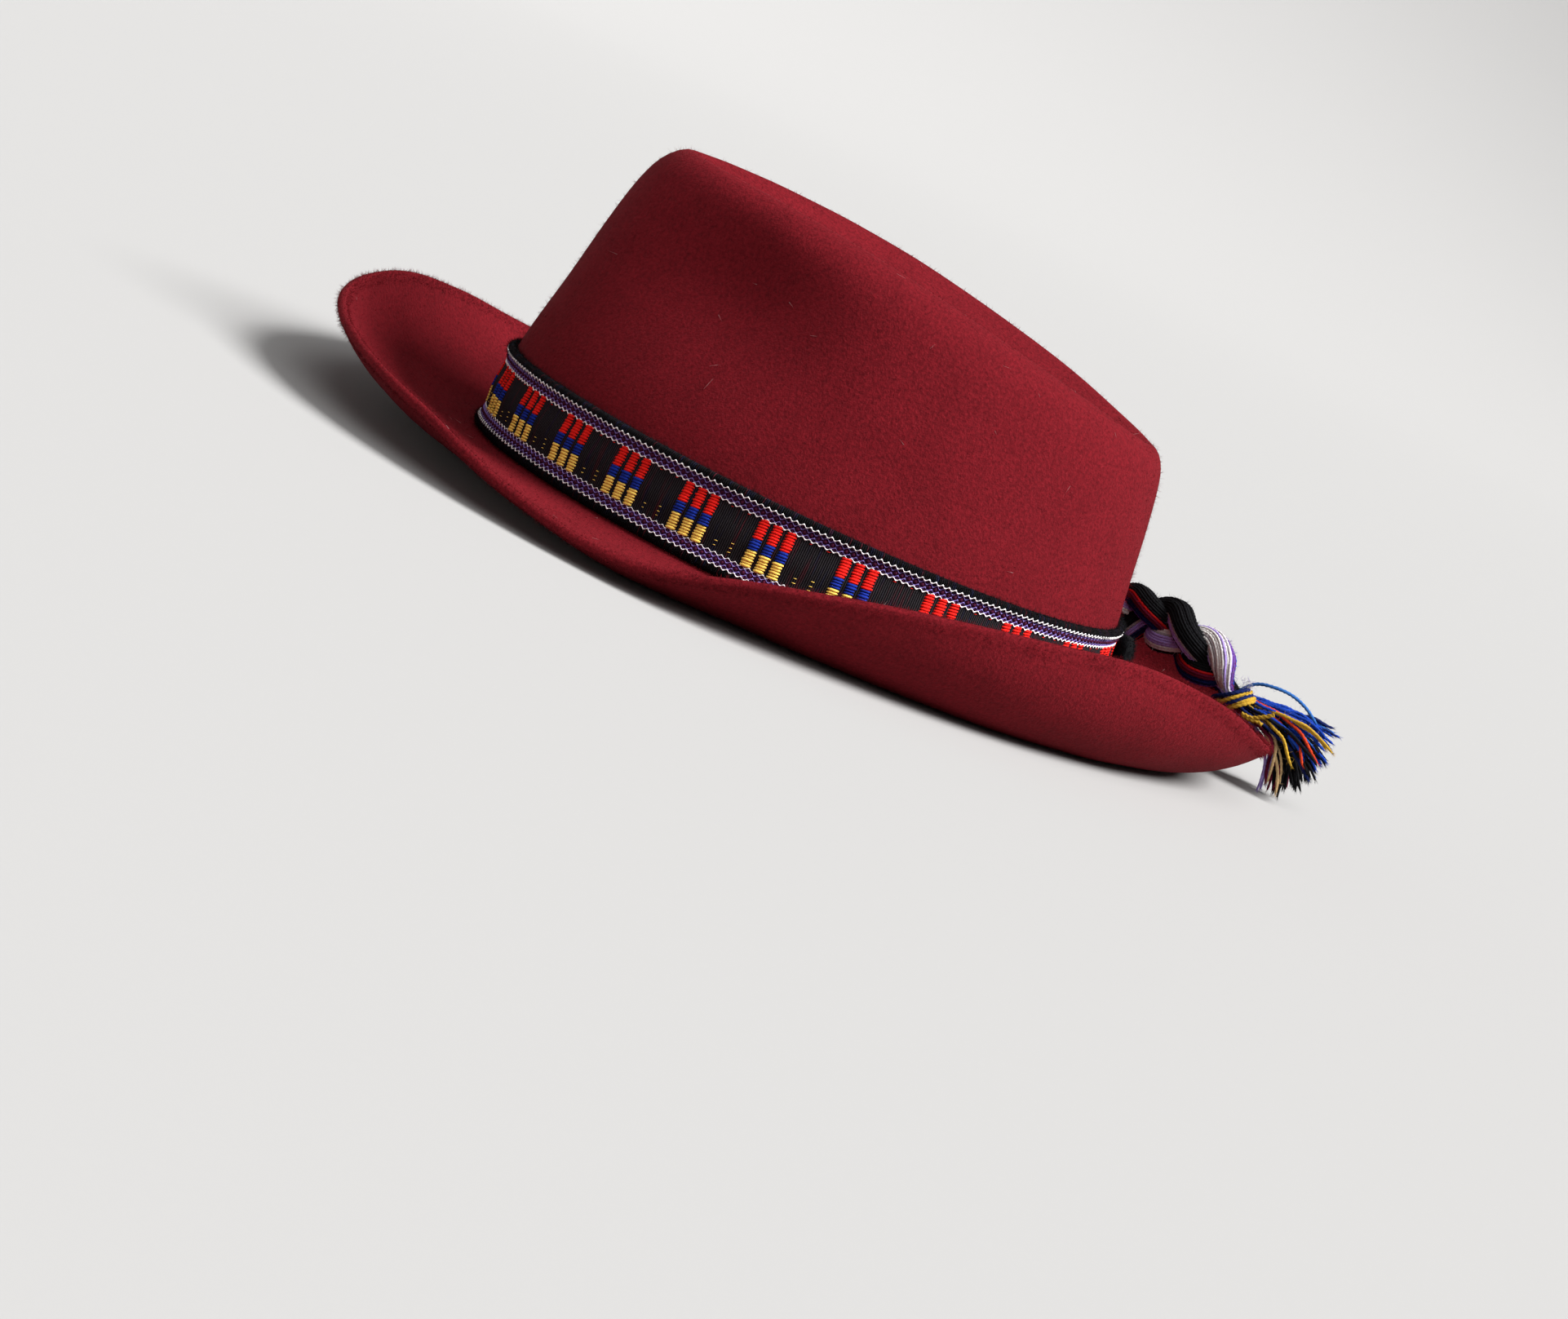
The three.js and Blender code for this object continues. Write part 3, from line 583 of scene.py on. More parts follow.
def tube_groups(tubes, rings, sides, numbers):
    """Face groups of many like capped tubes, each with its own material number."""
    quads, caps = tube_faces(tubes, rings, sides)
    numbers = np.asarray(numbers)
    return [
        (quads.reshape(-1, 4), np.repeat(numbers, quads.shape[1])),
        (caps.reshape(-1, sides), np.repeat(numbers, 2)),
    ]


def floats(along, lift, half_length, half_width, random):
    """Floats on the flat belt: five-sided threads that arch over the ground and dive into it at both ends,
    by the sixth power of the way from the middle, thinner there by its fourth power."""
    count = len(along)
    run = np.linspace(-1, 1, FLOAT_RINGS)[None, :, None]
    angle = np.pi * (0.5 + 2 * np.arange(FLOAT_SIDES) / FLOAT_SIDES)
    size = random.uniform(*FLOAT_SIZES, (count, 1, 1)) * np.sqrt(1 - FLOAT_TAPER * run**4)
    shift = random.normal(scale=FLOAT_SHIFT, size=(3, count, 1, 1))
    reach = (along[:, None, None] + shift[0]) + run * (half_length[:, None, None] + shift[1])
    middle = lift[:, None, None] + run * half_length[:, None, None] * FLOAT_SLANT
    thick = np.minimum(half_width, FLOAT_THICK)[:, None, None]
    arch = FLOAT_HIGH / FLOAT_THICK * thick * (1 - FLOAT_DIVE * run**6) + shift[2] * FLOAT_HEAVE
    flat_lift = middle + half_width[:, None, None] * size * np.cos(angle)
    flat_clear = belt_clear(middle) + arch + FLOAT_ROUND * thick * size * np.sin(angle)
    return np.stack(np.broadcast_arrays(reach, flat_lift, flat_clear), -1)


def block_places(numbers):
    """Places along the belt of block numbers, spaced by the belt's uneven stretch, which swings twice in one
    round of the oval."""
    along = np.linspace(0, belt_length, BLOCK_STEPS)
    swing = 4 * np.pi * along / belt_length
    stretch = STRETCH_SIN * np.sin(swing) + STRETCH_COS * (np.cos(swing) - 1)
    return np.interp(numbers, BLOCKS * along / belt_length + stretch, along)


float_random = np.random.default_rng(FLOAT_SEED)
block_middle = block_places(np.mod(np.arange(BLOCKS) + BLOCK_START, BLOCKS))
column_shift = (np.arange(BLOCK_COLUMNS) - (BLOCK_COLUMNS - 1) / 2) * COLUMN_PITCH
row_lift = np.arange(ROW_LOWEST + FLOAT_PITCH / 2, ROW_HIGHEST, FLOAT_PITCH)
float_along, float_lift = np.broadcast_arrays(
    block_middle[:, None, None] + column_shift[:, None], row_lift
)
float_along, float_lift = float_along.ravel(), float_lift.ravel()
float_colour = np.digitize(float_lift, [ROW_BLUE, ROW_RED])
fleck_table = dict(zip(FLECK_NAMES, np.array(FLECKS).T))
fleck_middle = block_places(np.mod(np.arange(BLOCKS) + BLOCK_START + 0.5, BLOCKS))
fleck_along = (fleck_middle[:, None] + fleck_table["pitches"] * FLECK_PITCH).ravel()
fleck_lift = np.tile(fleck_table["lift"], BLOCKS)
fleck_colour = np.tile(fleck_table["colour"], BLOCKS)
float_counts = [len(float_along), len(fleck_along)]
all_half = np.repeat([COLUMN_WIDTH / 2, FLECK_WIDTH / 2], float_counts)
all_width = np.repeat([FLOAT_HALF, FLECK_HALF], float_counts)
float_points = wrap_belt(floats(
    np.concatenate([float_along, fleck_along]),
    np.concatenate([float_lift, fleck_lift]),
    all_half,
    all_width,
    float_random,
))
float_groups = tube_groups(
    len(all_half), FLOAT_RINGS, FLOAT_SIDES, np.concatenate([float_colour, fleck_colour])
)
FLOAT_DYES = {
    "float_yellow": dye(255, 218, 104),
    "float_blue": dye(28, 48, 140),
    "float_red": dye(222, 34, 28),
}
FLOAT_SPREAD = 0.16
belt_floats = new_piece(
    "belt_floats",
    float_points.reshape(-1, 3),
    float_groups,
    [yarn_material(name, colour, FLOAT_SPREAD) for name, colour in FLOAT_DYES.items()],
)
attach(belt_floats, "root")

# Woven belt, border stripes
# Each border stripe is edged by two white warp cords that zigzag. Two violet cords inside them swing toward
# each other and apart, and a maroon dot lies in each small diamond that they leave.
ZIGZAG, ZIGZAG_STEPS, CORD_SIDES = 2.1, 6, 5
WHITE_SWING, WHITE_RADIUS, SPARSE_RADIUS = 0.3, 0.19, 0.14
VIOLET_INSET, VIOLET_SWING, VIOLET_RADIUS = 0.76, 0.34, 0.16
CORD_SWELL, CORD_SEAT, CORD_HEAVE = 0.3, 0.7, 0.06
DOT_HALF_LENGTH, DOT_HALF_WIDTH = 0.55, 0.55
BORDER_WHITE, BORDER_VIOLET, BORDER_MAROON = 0, 1, 2

zigzags = int(round(belt_length / ZIGZAG))
cord_rings = zigzags * ZIGZAG_STEPS
cord_along = np.arange(cord_rings) * belt_length / cord_rings
cord_phase = 2 * np.pi * np.arange(cord_rings) / ZIGZAG_STEPS
cord_angle = 2 * np.pi * np.arange(CORD_SIDES) / CORD_SIDES


def border_cord(lift, swing, radius, turn):
    """Cord along the flat belt that swings up and down as a cosine and swells at each turning point."""
    size = radius * (1 + CORD_SWELL * np.cos(2 * cord_phase))[:, None]
    middle = lift + swing * np.cos(cord_phase + turn)
    clear = belt_clear(middle) + radius * CORD_SEAT + CORD_HEAVE * np.sin(cord_phase)
    flat_lift = middle[:, None] + size * np.cos(cord_angle)
    flat_clear = clear[:, None] + size * np.sin(cord_angle)
    return np.stack(np.broadcast_arrays(cord_along[:, None], flat_lift, flat_clear), -1)


white_cords, violet_cords, dot_lifts = [], [], []
for low, high in (LOWER_STRIPE, UPPER_STRIPE):
    inner_radius = SPARSE_RADIUS if low == LOWER_STRIPE[0] else WHITE_RADIUS
    white_cords.append(border_cord(low, WHITE_SWING, WHITE_RADIUS, 0))
    white_cords.append(border_cord(high, WHITE_SWING, inner_radius, np.pi))
    violet_cords += [
        border_cord(low + VIOLET_INSET, VIOLET_SWING, VIOLET_RADIUS, np.pi),
        border_cord(high - VIOLET_INSET, VIOLET_SWING, VIOLET_RADIUS, 0),
    ]
    dot_lifts.append((low + high) / 2)
border_cords = np.array(white_cords + violet_cords)
cord_quads, _ = tube_faces(len(border_cords), cord_rings, CORD_SIDES, loop=True)
cord_numbers = np.repeat([BORDER_WHITE, BORDER_VIOLET], [len(white_cords), len(violet_cords)])
dot_along, dot_lift = np.broadcast_arrays(
    np.arange(zigzags) * belt_length / zigzags, np.array(dot_lifts)[:, None]
)
dot_half = np.full(dot_along.size, DOT_HALF_LENGTH)
dot_width = np.full(dot_along.size, DOT_HALF_WIDTH)
border_random = np.random.default_rng(FLOAT_SEED + 1)
dot_flat = floats(dot_along.ravel(), dot_lift.ravel(), dot_half, dot_width, border_random)
dot_numbers = np.full(len(dot_half), BORDER_MAROON)
dot_groups = tube_groups(len(dot_half), FLOAT_RINGS, FLOAT_SIDES, dot_numbers)
cord_groups = [(cord_quads.reshape(-1, 4), np.repeat(cord_numbers, cord_quads.shape[1]))]
border_flat, border_groups = joined(
    border_cords.reshape(-1, 3), cord_groups, dot_flat.reshape(-1, 3), dot_groups
)
BORDER_DYES = {
    "border_white": dye(252, 249, 249),
    "border_violet": dye(140, 122, 196),
    "border_maroon": dye(70, 24, 48),
}
belt_borders = new_piece(
    "belt_borders",
    wrap_belt(border_flat),
    border_groups,
    [yarn_material(name, colour) for name, colour in BORDER_DYES.items()],
)
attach(belt_borders, "root")

# Woven belt, selvedge fuzz
# The black wool of the rolled selvedges is hairy, and short fibres stand out from both edges of the belt.
SELVEDGE_HAIRS, SELVEDGE_WIDTH = 18000, 0.12
SELVEDGE_LENGTH, SELVEDGE_STRAY = (0.4, 1.8), 0.8
SELVEDGE_ROWS = 5
YARN_BLACK, YARN_BLACK_SHEEN = dye(17, 17, 19), 0.04


def astray(out, stray, random):
    """Outward directions turned aside at random: each plus a share of a random unit vector."""
    return unit(out + stray * unit(random.normal(size=out.shape)))


selvedge_random = np.random.default_rng(FLOAT_SEED + 2)
belt_out = grid_out(belt_points)
hair_sets = []
for rows in (slice(0, SELVEDGE_ROWS), slice(BELT_ROWS - SELVEDGE_ROWS, BELT_ROWS + 1)):
    roots, out = scatter(belt_points[rows], belt_out[rows], SELVEDGE_HAIRS // 2, selvedge_random)
    hair_sets.append((roots, astray(out, SELVEDGE_STRAY, selvedge_random)))
selvedge_roots = np.concatenate([roots for roots, _ in hair_sets])
selvedge_way = np.concatenate([way for _, way in hair_sets])
selvedge_long = selvedge_random.uniform(*SELVEDGE_LENGTH, len(selvedge_roots))
selvedge_points, selvedge_faces = hairs(
    selvedge_roots, selvedge_way, selvedge_long, SELVEDGE_WIDTH / 2, selvedge_random
)
black_yarn = yarn_material("black_yarn", YARN_BLACK, sheen=YARN_BLACK_SHEEN)
belt_fuzz = new_piece("belt_fuzz", selvedge_points, [(selvedge_faces, 0)], [black_yarn])
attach(belt_fuzz, "root")

# Belt end
# The belt's raw end is rolled up and stitched down at the back of the crown, a small hairy black lump.
END_TURN, END_LOW, END_HIGH, END_HALF_WIDTH, END_DEPTH, END_CLEAR = 179.0, 5.0, 22.4, 5.7, 5.7, 1.95
END_UP = np.array([0, 0.08, 0.25, 0.7, 0.9, 1])
END_SIZE = np.array([0.45, 0.8, 1, 1, 0.8, 0.45])
END_ROWS, END_COLUMNS, END_ROLLS, END_ROLL_DEEP = 30, 48, 7, 0.07
END_ROLL_TURN, END_UNEVEN, END_WAVES, END_WAVELENGTH = 5, 0.12, 12, 2.2
END_HAIRS, END_STRAY = 2600, 0.9
end_random = np.random.default_rng(FLOAT_SEED + 3)
end_share = np.linspace(0, 1, END_ROWS)[:, None]
end_angle = 2 * np.pi * np.arange(END_COLUMNS) / END_COLUMNS
end_lift = END_LOW + (END_HIGH - END_LOW) * end_share
end_lift = np.broadcast_to(end_lift, (END_ROWS, END_COLUMNS))
end_points = belt_on_wall(END_TURN, end_lift, END_CLEAR + END_DEPTH / 2)
end_roll = END_ROLLS * end_angle + END_ROLL_TURN * end_share
end_folds = 1 - END_ROLL_DEEP * (1 + np.cos(end_roll)) / 2
end_size = table_value(END_UP, END_SIZE, end_share) * end_folds
end_points[..., 0] += END_HALF_WIDTH * end_size * np.cos(end_angle)
end_points[..., 1] += END_DEPTH / 2 * end_size * np.sin(end_angle)
end_lump = END_UNEVEN * unevenness(end_points, END_WAVES, END_WAVELENGTH, end_random)
end_points += end_lump[..., None] * grid_out(end_points)
end_index = point_numbers(end_points)
end_roots, end_out = scatter(end_points, grid_out(end_points), END_HAIRS, end_random)
end_way = astray(end_out, END_STRAY, end_random)
end_long = end_random.uniform(*SELVEDGE_LENGTH, END_HAIRS)
end_hair, end_hair_faces = hairs(end_roots, end_way, end_long, SELVEDGE_WIDTH / 2, end_random)
end_groups = [(grid_quads(end_index), 0), (np.stack([end_index[0, ::-1], end_index[-1]]), 0)]
end_mesh = joined(end_points.reshape(-1, 3), end_groups, end_hair, [(end_hair_faces, 0)])
belt_end = new_piece("belt_end", *end_mesh, [black_yarn])
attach(belt_end, "root")
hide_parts("band_end")

# Braid
# The belt's warp ends leave the back of the band and are plaited in three strands over the rear brim. Each
# strand is a bundle of parallel two-ply yarns in black, white, lilac and a few bright colours.
BRAID_PATH = np.array([
    (-29.5, 86.1, 28.5), (-25.3, 93, 32.1), (-20, 98.6, 33.2), (-14.8, 105.2, 32),
    (-10.6, 112.2, 30.4), (-8.2, 119.5, 27.3), (-7.2, 125.6, 23.4),
])
STRANDS, STRAND_RADIUS, STRAND_END_RADIUS = 3, 4.2, 2.4
PLAIT_HIGH, PLAIT_DEEP, PLAIT_END = 4.7, 2.5, 0.16
PLAIT_TURNS, PLAIT_START, PLAIT_ROLL = 1.1, 0.06, np.radians(25)
DRAW_IN_FROM, DRAW_IN_TO = 0.79, 0.94
BRAID_RINGS, CORE_SIDES, LINE_STEPS = 112, 14, 600
YARN_SEAT, YARN_SHRINK, CORE_UNDER = (0.92, 1.04), 0.3, 1.3
YARN_RADIUS, YARN_SIDES, YARN_PLY, YARN_LOBE, YARN_LAY = 0.45, 6, 2, 0.2, 2.8
STRAND_TWIST = np.array([0.9, 3.2, -0.6])
BRAID_SEED = 31
YARN_DYES = {
    "black": YARN_BLACK, "white": dye(198, 195, 192), "lilac": dye(156, 136, 198),
    "purple": dye(92, 58, 128), "maroon": dye(92, 20, 44), "red": dye(174, 27, 30),
    "royal": dye(26, 58, 148), "navy": dye(20, 30, 74), "sky": dye(48, 96, 160),
    "yellow": dye(172, 136, 46), "orange": dye(188, 60, 33), "tan": dye(180, 150, 108),
    "grey": dye(142, 137, 139),
}
STRAND_COLOURS = [
    [("purple", 3), ("black", 21), ("red", 1), ("maroon", 2), ("navy", 3)],
    [
        ("black", 4), ("royal", 1), ("white", 1), ("maroon", 1), ("royal", 3), ("maroon", 1), ("purple", 2),
        ("lilac", 1), ("white", 2), ("lilac", 1), ("white", 3), ("grey", 1), ("white", 2), ("grey", 1),
        ("lilac", 4), ("white", 2),
    ],
    [("black", 3), ("grey", 1), ("lilac", 2), ("navy", 3), ("orange", 1), ("black", 20)],
]
CORE_COLOURS = [("black", 1), ("grey", 1), ("black", 1)]
yarn_names = list(YARN_DYES)
yarn_set = [black_yarn] + [yarn_material(name + "_yarn", YARN_DYES[name]) for name in yarn_names[1:]]


def yarn_numbers(runs):
    """Material number of each yarn from a list of (colour, count) runs."""
    return np.concatenate([np.full(count, yarn_names.index(colour)) for colour, count in runs])


def smooth_line(points, shares):
    """Smooth line through a few points, read at shares of its length."""
    chord = arc_length(points)
    fine = np.linspace(0, chord[-1], LINE_STEPS)
    line = np.stack([table_value(chord, points[:, axis], fine) for axis in range(3)], -1)
    arc = arc_length(line)
    return np.stack([np.interp(shares * arc[-1], arc, line[:, axis]) for axis in range(3)], -1)


def settle(share):
    """Smooth step from 0 to 1 as the plait is drawn in toward the tie."""
    way = np.clip((share - DRAW_IN_FROM) / (DRAW_IN_TO - DRAW_IN_FROM), 0, 1)
    return way**2 * (3 - 2 * way)


def carried_sides(paths, first_side):
    """Two directions square to each path, carried along it so that they turn no more than they must."""
    along = unit(np.gradient(paths, axis=1))
    side = np.empty_like(along)
    before = np.broadcast_to(first_side, along[:, 0].shape)
    for ring in range(along.shape[1]):
        before = unit(before - (before * along[:, ring]).sum(-1, keepdims=True) * along[:, ring])
        side[:, ring] = before
    return side, np.cross(along, side)


def tube_skin(paths, radius, sides, first_side, ply=0, lay=1.0):
    """Tubes round many paths. With a ply, the section is lobed and turns once in each lay of length."""
    side, up = carried_sides(paths, first_side)
    arc = arc_length(paths)[..., None]
    angle = 2 * np.pi * np.arange(sides) / sides
    lobes = 1 + (YARN_LOBE * np.cos(ply * (angle - 2 * np.pi * arc / lay)) if ply else 0 * angle)
    size = (radius * lobes)[..., None]
    return paths[:, :, None] + size * (
        side[:, :, None] * np.cos(angle)[:, None] + up[:, :, None] * np.sin(angle)[:, None]
    )


near_side = np.array([1.0, 0.0, 0.0])
braid_share = np.linspace(0, 1, BRAID_RINGS)
braid_line = smooth_line(BRAID_PATH, braid_share)
braid_along = unit(np.gradient(braid_line, axis=0))
braid_aside = unit(np.cross(np.array([0.0, 0.0, 1.0]), braid_along))
braid_up = np.cross(braid_along, braid_aside)
strand_number = np.arange(STRANDS)[:, None]
strand_swing = 2 * np.pi * (PLAIT_TURNS * braid_share + PLAIT_START + strand_number / STRANDS)
strand_open = 1 + (PLAIT_END - 1) * settle(braid_share)
strand_high = (strand_open * PLAIT_HIGH * np.sin(strand_swing))[..., None]
strand_deep = (strand_open * PLAIT_DEEP * np.sin(2 * strand_swing))[..., None]
rolled_up = braid_up * np.cos(PLAIT_ROLL) - braid_aside * np.sin(PLAIT_ROLL)
rolled_aside = braid_aside * np.cos(PLAIT_ROLL) + braid_up * np.sin(PLAIT_ROLL)
strand_paths = braid_line + rolled_up * strand_high + rolled_aside * strand_deep
strand_radius = STRAND_RADIUS + (STRAND_END_RADIUS - STRAND_RADIUS) * settle(braid_share)
strand_side, strand_up = carried_sides(strand_paths, near_side)
braid_random = np.random.default_rng(BRAID_SEED)
yarns_each = len(yarn_numbers(STRAND_COLOURS[0]))
yarn_turn = 2 * np.pi * np.arange(yarns_each) / yarns_each
yarn_turn = yarn_turn[:, None] + STRAND_TWIST[:, None, None] * braid_share
yarn_out = (strand_radius - YARN_RADIUS) * braid_random.uniform(*YARN_SEAT, (STRANDS, yarns_each, 1))
yarn_paths = strand_paths[:, None] + yarn_out[..., None] * (
    strand_side[:, None] * np.cos(yarn_turn)[..., None] + strand_up[:, None] * np.sin(yarn_turn)[..., None]
)
yarn_paths = yarn_paths.reshape(-1, BRAID_RINGS, 3)
yarn_shrink = (strand_radius / STRAND_RADIUS)[:, None] ** YARN_SHRINK
yarn_size = np.full((1, BRAID_RINGS, 1), YARN_RADIUS) * yarn_shrink
braid_skin = tube_skin(yarn_paths, yarn_size, YARN_SIDES, near_side, YARN_PLY, YARN_LAY)
core_size = (strand_radius - CORE_UNDER * YARN_RADIUS)[:, None]
core_skin = tube_skin(strand_paths, core_size, CORE_SIDES, near_side)
braid_colours = np.concatenate([yarn_numbers(runs) for runs in STRAND_COLOURS])
braid_groups = tube_groups(len(yarn_paths), BRAID_RINGS, YARN_SIDES, braid_colours)
core_groups = tube_groups(STRANDS, BRAID_RINGS, CORE_SIDES, yarn_numbers(CORE_COLOURS))
braid_mesh = joined(braid_skin.reshape(-1, 3), braid_groups, core_skin.reshape(-1, 3), core_groups)
braid_yarns = new_piece("braid_yarns", *braid_mesh, yarn_set)
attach(braid_yarns, "root")
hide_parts("braid")

# Tie
# Yellow and navy yarn is wound aslant round the end of the plait and knotted, which holds the strands and
# gathers the tassel's neck. Two ends of it stick out of the knot.
TIE_BORE, TIE_THREAD, TIE_LENGTH, TIE_OVERLAP = 4.0, 1.5, 9.0, 3.2
TIE_YARNS = [("navy", 1), ("yellow", 2), ("navy", 1), ("yellow", 2)]
TIE_TURNS, TIE_RINGS, TIE_SIDES, TIE_RADIUS = 1.3, 110, 8, 0.6
TIE_SLANT, TIE_PHASES = (1.1, 1.9), 0.25
TIE_HEAVE, TIE_HEAVES, TIE_HEAVE_PHASE = 0.35, 1.5, 9
TIE_ENDS = np.array([
    [(-2.0, 129.6, 20.4), (-0.8, 132.6, 20.6), (-0.2, 135.9, 22.6), (0.2, 138.2, 24.3)],
    [(-2.0, 129.8, 20.0), (-0.8, 132.6, 19.9), (-0.4, 134.7, 20.3), (-0.2, 136.3, 20.0)],
])
TIE_SEED = 37
tie_along = braid_along[-1]
tie_start = braid_line[-1] - TIE_OVERLAP * tie_along
tie_side = unit(np.cross(tie_along, near_side))
tie_up = np.cross(tie_along, tie_side)
tie_random = np.random.default_rng(TIE_SEED)
tie_colours = yarn_numbers(TIE_YARNS)
tie_count = len(tie_colours)
tie_share = np.linspace(0, 1, TIE_RINGS)
tie_turn = 2 * np.pi * TIE_TURNS * tie_share
tie_phase = tie_random.normal(scale=TIE_PHASES, size=(tie_count, 1))
tie_lean = tie_random.uniform(*TIE_SLANT, (tie_count, 1)) * np.cos(tie_turn + tie_phase)
tie_margin = TIE_SLANT[1] + TIE_RADIUS
tie_place = np.linspace(tie_margin, TIE_LENGTH - tie_margin, tie_count)[:, None]
tie_step = tie_place - tie_lean + TIE_RADIUS * (tie_share - 0.5)
tie_step = np.clip(tie_step, TIE_RADIUS, TIE_LENGTH - TIE_RADIUS)
tie_heave = TIE_HEAVE * np.sin(TIE_HEAVES * tie_turn + TIE_HEAVE_PHASE * tie_phase)
tie_reach = TIE_BORE + TIE_THREAD / 2 + tie_heave
tie_paths = tie_start + tie_along * tie_step[..., None] + tie_reach[..., None] * (
    tie_side * np.cos(tie_turn)[:, None] + tie_up * np.sin(tie_turn)[:, None]
)
loose_ends = np.stack([smooth_line(points, tie_share) for points in TIE_ENDS])
tie_paths = np.concatenate([tie_paths, loose_ends])
tie_colours = np.concatenate([tie_colours, yarn_numbers([("yellow", len(TIE_ENDS))])])
tie_size = np.full((1, TIE_RINGS, 1), TIE_RADIUS)
tie_skin = tube_skin(tie_paths, tie_size, TIE_SIDES, tie_along, YARN_PLY, YARN_LAY)
tie_thread = new_piece(
    "tie_thread",
    tie_skin.reshape(-1, 3),
    tube_groups(len(tie_paths), TIE_RINGS, TIE_SIDES, tie_colours),
    yarn_set,
)
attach(tie_thread, "root")
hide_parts("tassel_tie")

# Tassel
# Past the tie the warp ends hang loose over the edge of the rear brim, locks of two-ply yarn in the belt's
# colours, cut uneven and fraying at their tips. One blue yarn arches over the rest.
LOCK_ROOT, NECK_BACK = 1.5, 4.5
LOCK_NAMES = ("x", "y", "z", "bend_y", "bend_z")
LOCKS = [
    ((-11, 159, 25, 144, 28), [("royal", 7), ("navy", 2), ("sky", 2)]),
    ((-3, 157.5, 22, 145, 27), [("royal", 8), ("maroon", 1), ("navy", 2)]),
    ((-15, 156, 18, 145, 23), [("navy", 5), ("royal", 4), ("black", 3)]),
    ((-7, 159, 16.5, 147, 24.5), [("black", 5), ("royal", 4), ("sky", 2)]),
    ((1, 156, 12.5, 145, 24), [("royal", 4), ("black", 4), ("navy", 2)]),
    ((-12, 158, 9.5, 149, 24.5), [("black", 13)]),
    ((-4, 154.5, 7, 146, 23), [("black", 15)]),
    ((-17, 151, 5.5, 146, 25), [("black", 8), ("tan", 1)]),
    ((-10, 150.5, 3, 147, 25), [("black", 5), ("maroon", 2), ("tan", 2)]),
    ((0, 148.5, 3, 144, 24), [("tan", 3), ("maroon", 2), ("black", 4)]),
    ((-6, 146.5, 2.4, 143, 24), [("lilac", 4), ("maroon", 3)]),
    ((2.5, 155.8, 16.5, 143, 26.5), [("orange", 2)]),
    ((1.5, 157, 22.4, 144, 28), [("yellow", 2)]),
    ((4, 151, 14.5, 140, 23), [("yellow", 1)]),
    ((2.5, 155.2, 14, 142, 25), [("royal", 2), ("black", 2)]),
    ((-4, 152.5, 23, 143, 28), [("maroon", 1)]),
]
ARCH_COLOUR = "sky"
ARCH = np.array([
    (-7, 126.5, 25.5), (-6.5, 130.3, 29.5), (-5, 135.6, 31.1),
    (-5, 141.2, 31.1), (-5, 146.2, 29.6), (-5, 151.5, 26.4),
])
TASSEL_RINGS, TASSEL_SIDES, TASSEL_RADIUS = 56, 6, 0.52
ROOT_REACH, ROOT_SPREAD, ROOT_FLARE = 2.6, 0.9, 2.1
END_SPREAD, BEND_SPREAD, LENGTH_SPREAD = 1.0, 0.9, 0.06
YARN_WAVE, YARN_WAVES = 0.35, (1.5, 4)
TIP_THIN, TIP_SHARP = 0.5, 30
LOWEST_YARN = 0.7
TASSEL_SEED = 43
tassel_random = np.random.default_rng(TASSEL_SEED)
lock_table = np.array([place for place, _ in LOCKS], float)
lock_counts = [sum(count for _, count in runs) for _, runs in LOCKS]
tassel_colours = np.concatenate([yarn_numbers(runs) for _, runs in LOCKS])
lock_of_yarn = np.repeat(np.arange(len(LOCKS)), lock_counts)
yarn_count = len(tassel_colours)
lock_rows = dict(zip(LOCK_NAMES, lock_table[lock_of_yarn].T))
lock_root = tie_start + tie_along * (TIE_LENGTH + LOCK_ROOT)
lock_end = np.stack([lock_rows["x"], lock_rows["y"], lock_rows["z"]], -1)
lock_aside = lock_end - lock_root
lock_aside -= (lock_aside @ tie_along)[:, None] * tie_along
root_shift = ROOT_REACH * lock_aside / np.linalg.norm(lock_aside, axis=1).max()
root_shift += tassel_random.normal(scale=ROOT_SPREAD, size=(yarn_count, 3))
root_shift -= (root_shift @ tie_along)[:, None] * tie_along
neck = tie_start + tie_along * (TIE_LENGTH - NECK_BACK) + root_shift
lock_bend = np.stack([(lock_root[0] + lock_rows["x"]) / 2, lock_rows["bend_y"], lock_rows["bend_z"]], -1)
yarn_end = lock_end + tassel_random.normal(scale=END_SPREAD, size=lock_end.shape)
yarn_end -= (yarn_end - lock_root) * np.abs(tassel_random.normal(scale=LENGTH_SPREAD, size=(yarn_count, 1)))
yarn_bend = lock_bend + tassel_random.normal(scale=BEND_SPREAD, size=lock_bend.shape)
way = np.linspace(0, 1, TASSEL_RINGS)[None, :, None]
tassel_paths = (
    (1 - way) ** 3 * neck[:, None]
    + 3 * (1 - way) ** 2 * way * (lock_root + ROOT_FLARE * root_shift)[:, None]
    + 3 * (1 - way) * way**2 * yarn_bend[:, None]
    + way**3 * yarn_end[:, None]
)
wave_phase = tassel_random.uniform(0, 2 * np.pi, (yarn_count, 1, 3))
wave_count = tassel_random.uniform(*YARN_WAVES, (yarn_count, 1, 3))
tassel_paths += YARN_WAVE * way * np.sin(2 * np.pi * wave_count * way + wave_phase)
tassel_paths[..., 2] = np.maximum(tassel_paths[..., 2], LOWEST_YARN)
tassel_paths = np.concatenate([tassel_paths, smooth_line(ARCH, way[0, :, 0])[None]])
tassel_colours = np.concatenate([tassel_colours, yarn_numbers([(ARCH_COLOUR, 1)])])
tassel_size = TASSEL_RADIUS * (1 - TIP_THIN * way[..., 0] ** TIP_SHARP)[..., None]
tassel_skin = tube_skin(tassel_paths, tassel_size, TASSEL_SIDES, near_side, YARN_PLY, YARN_LAY)
tassel_yarns = new_piece(
    "tassel_yarns",
    tassel_skin.reshape(-1, 3),
    tube_groups(len(tassel_paths), TASSEL_RINGS, TASSEL_SIDES, tassel_colours),
    yarn_set,
)
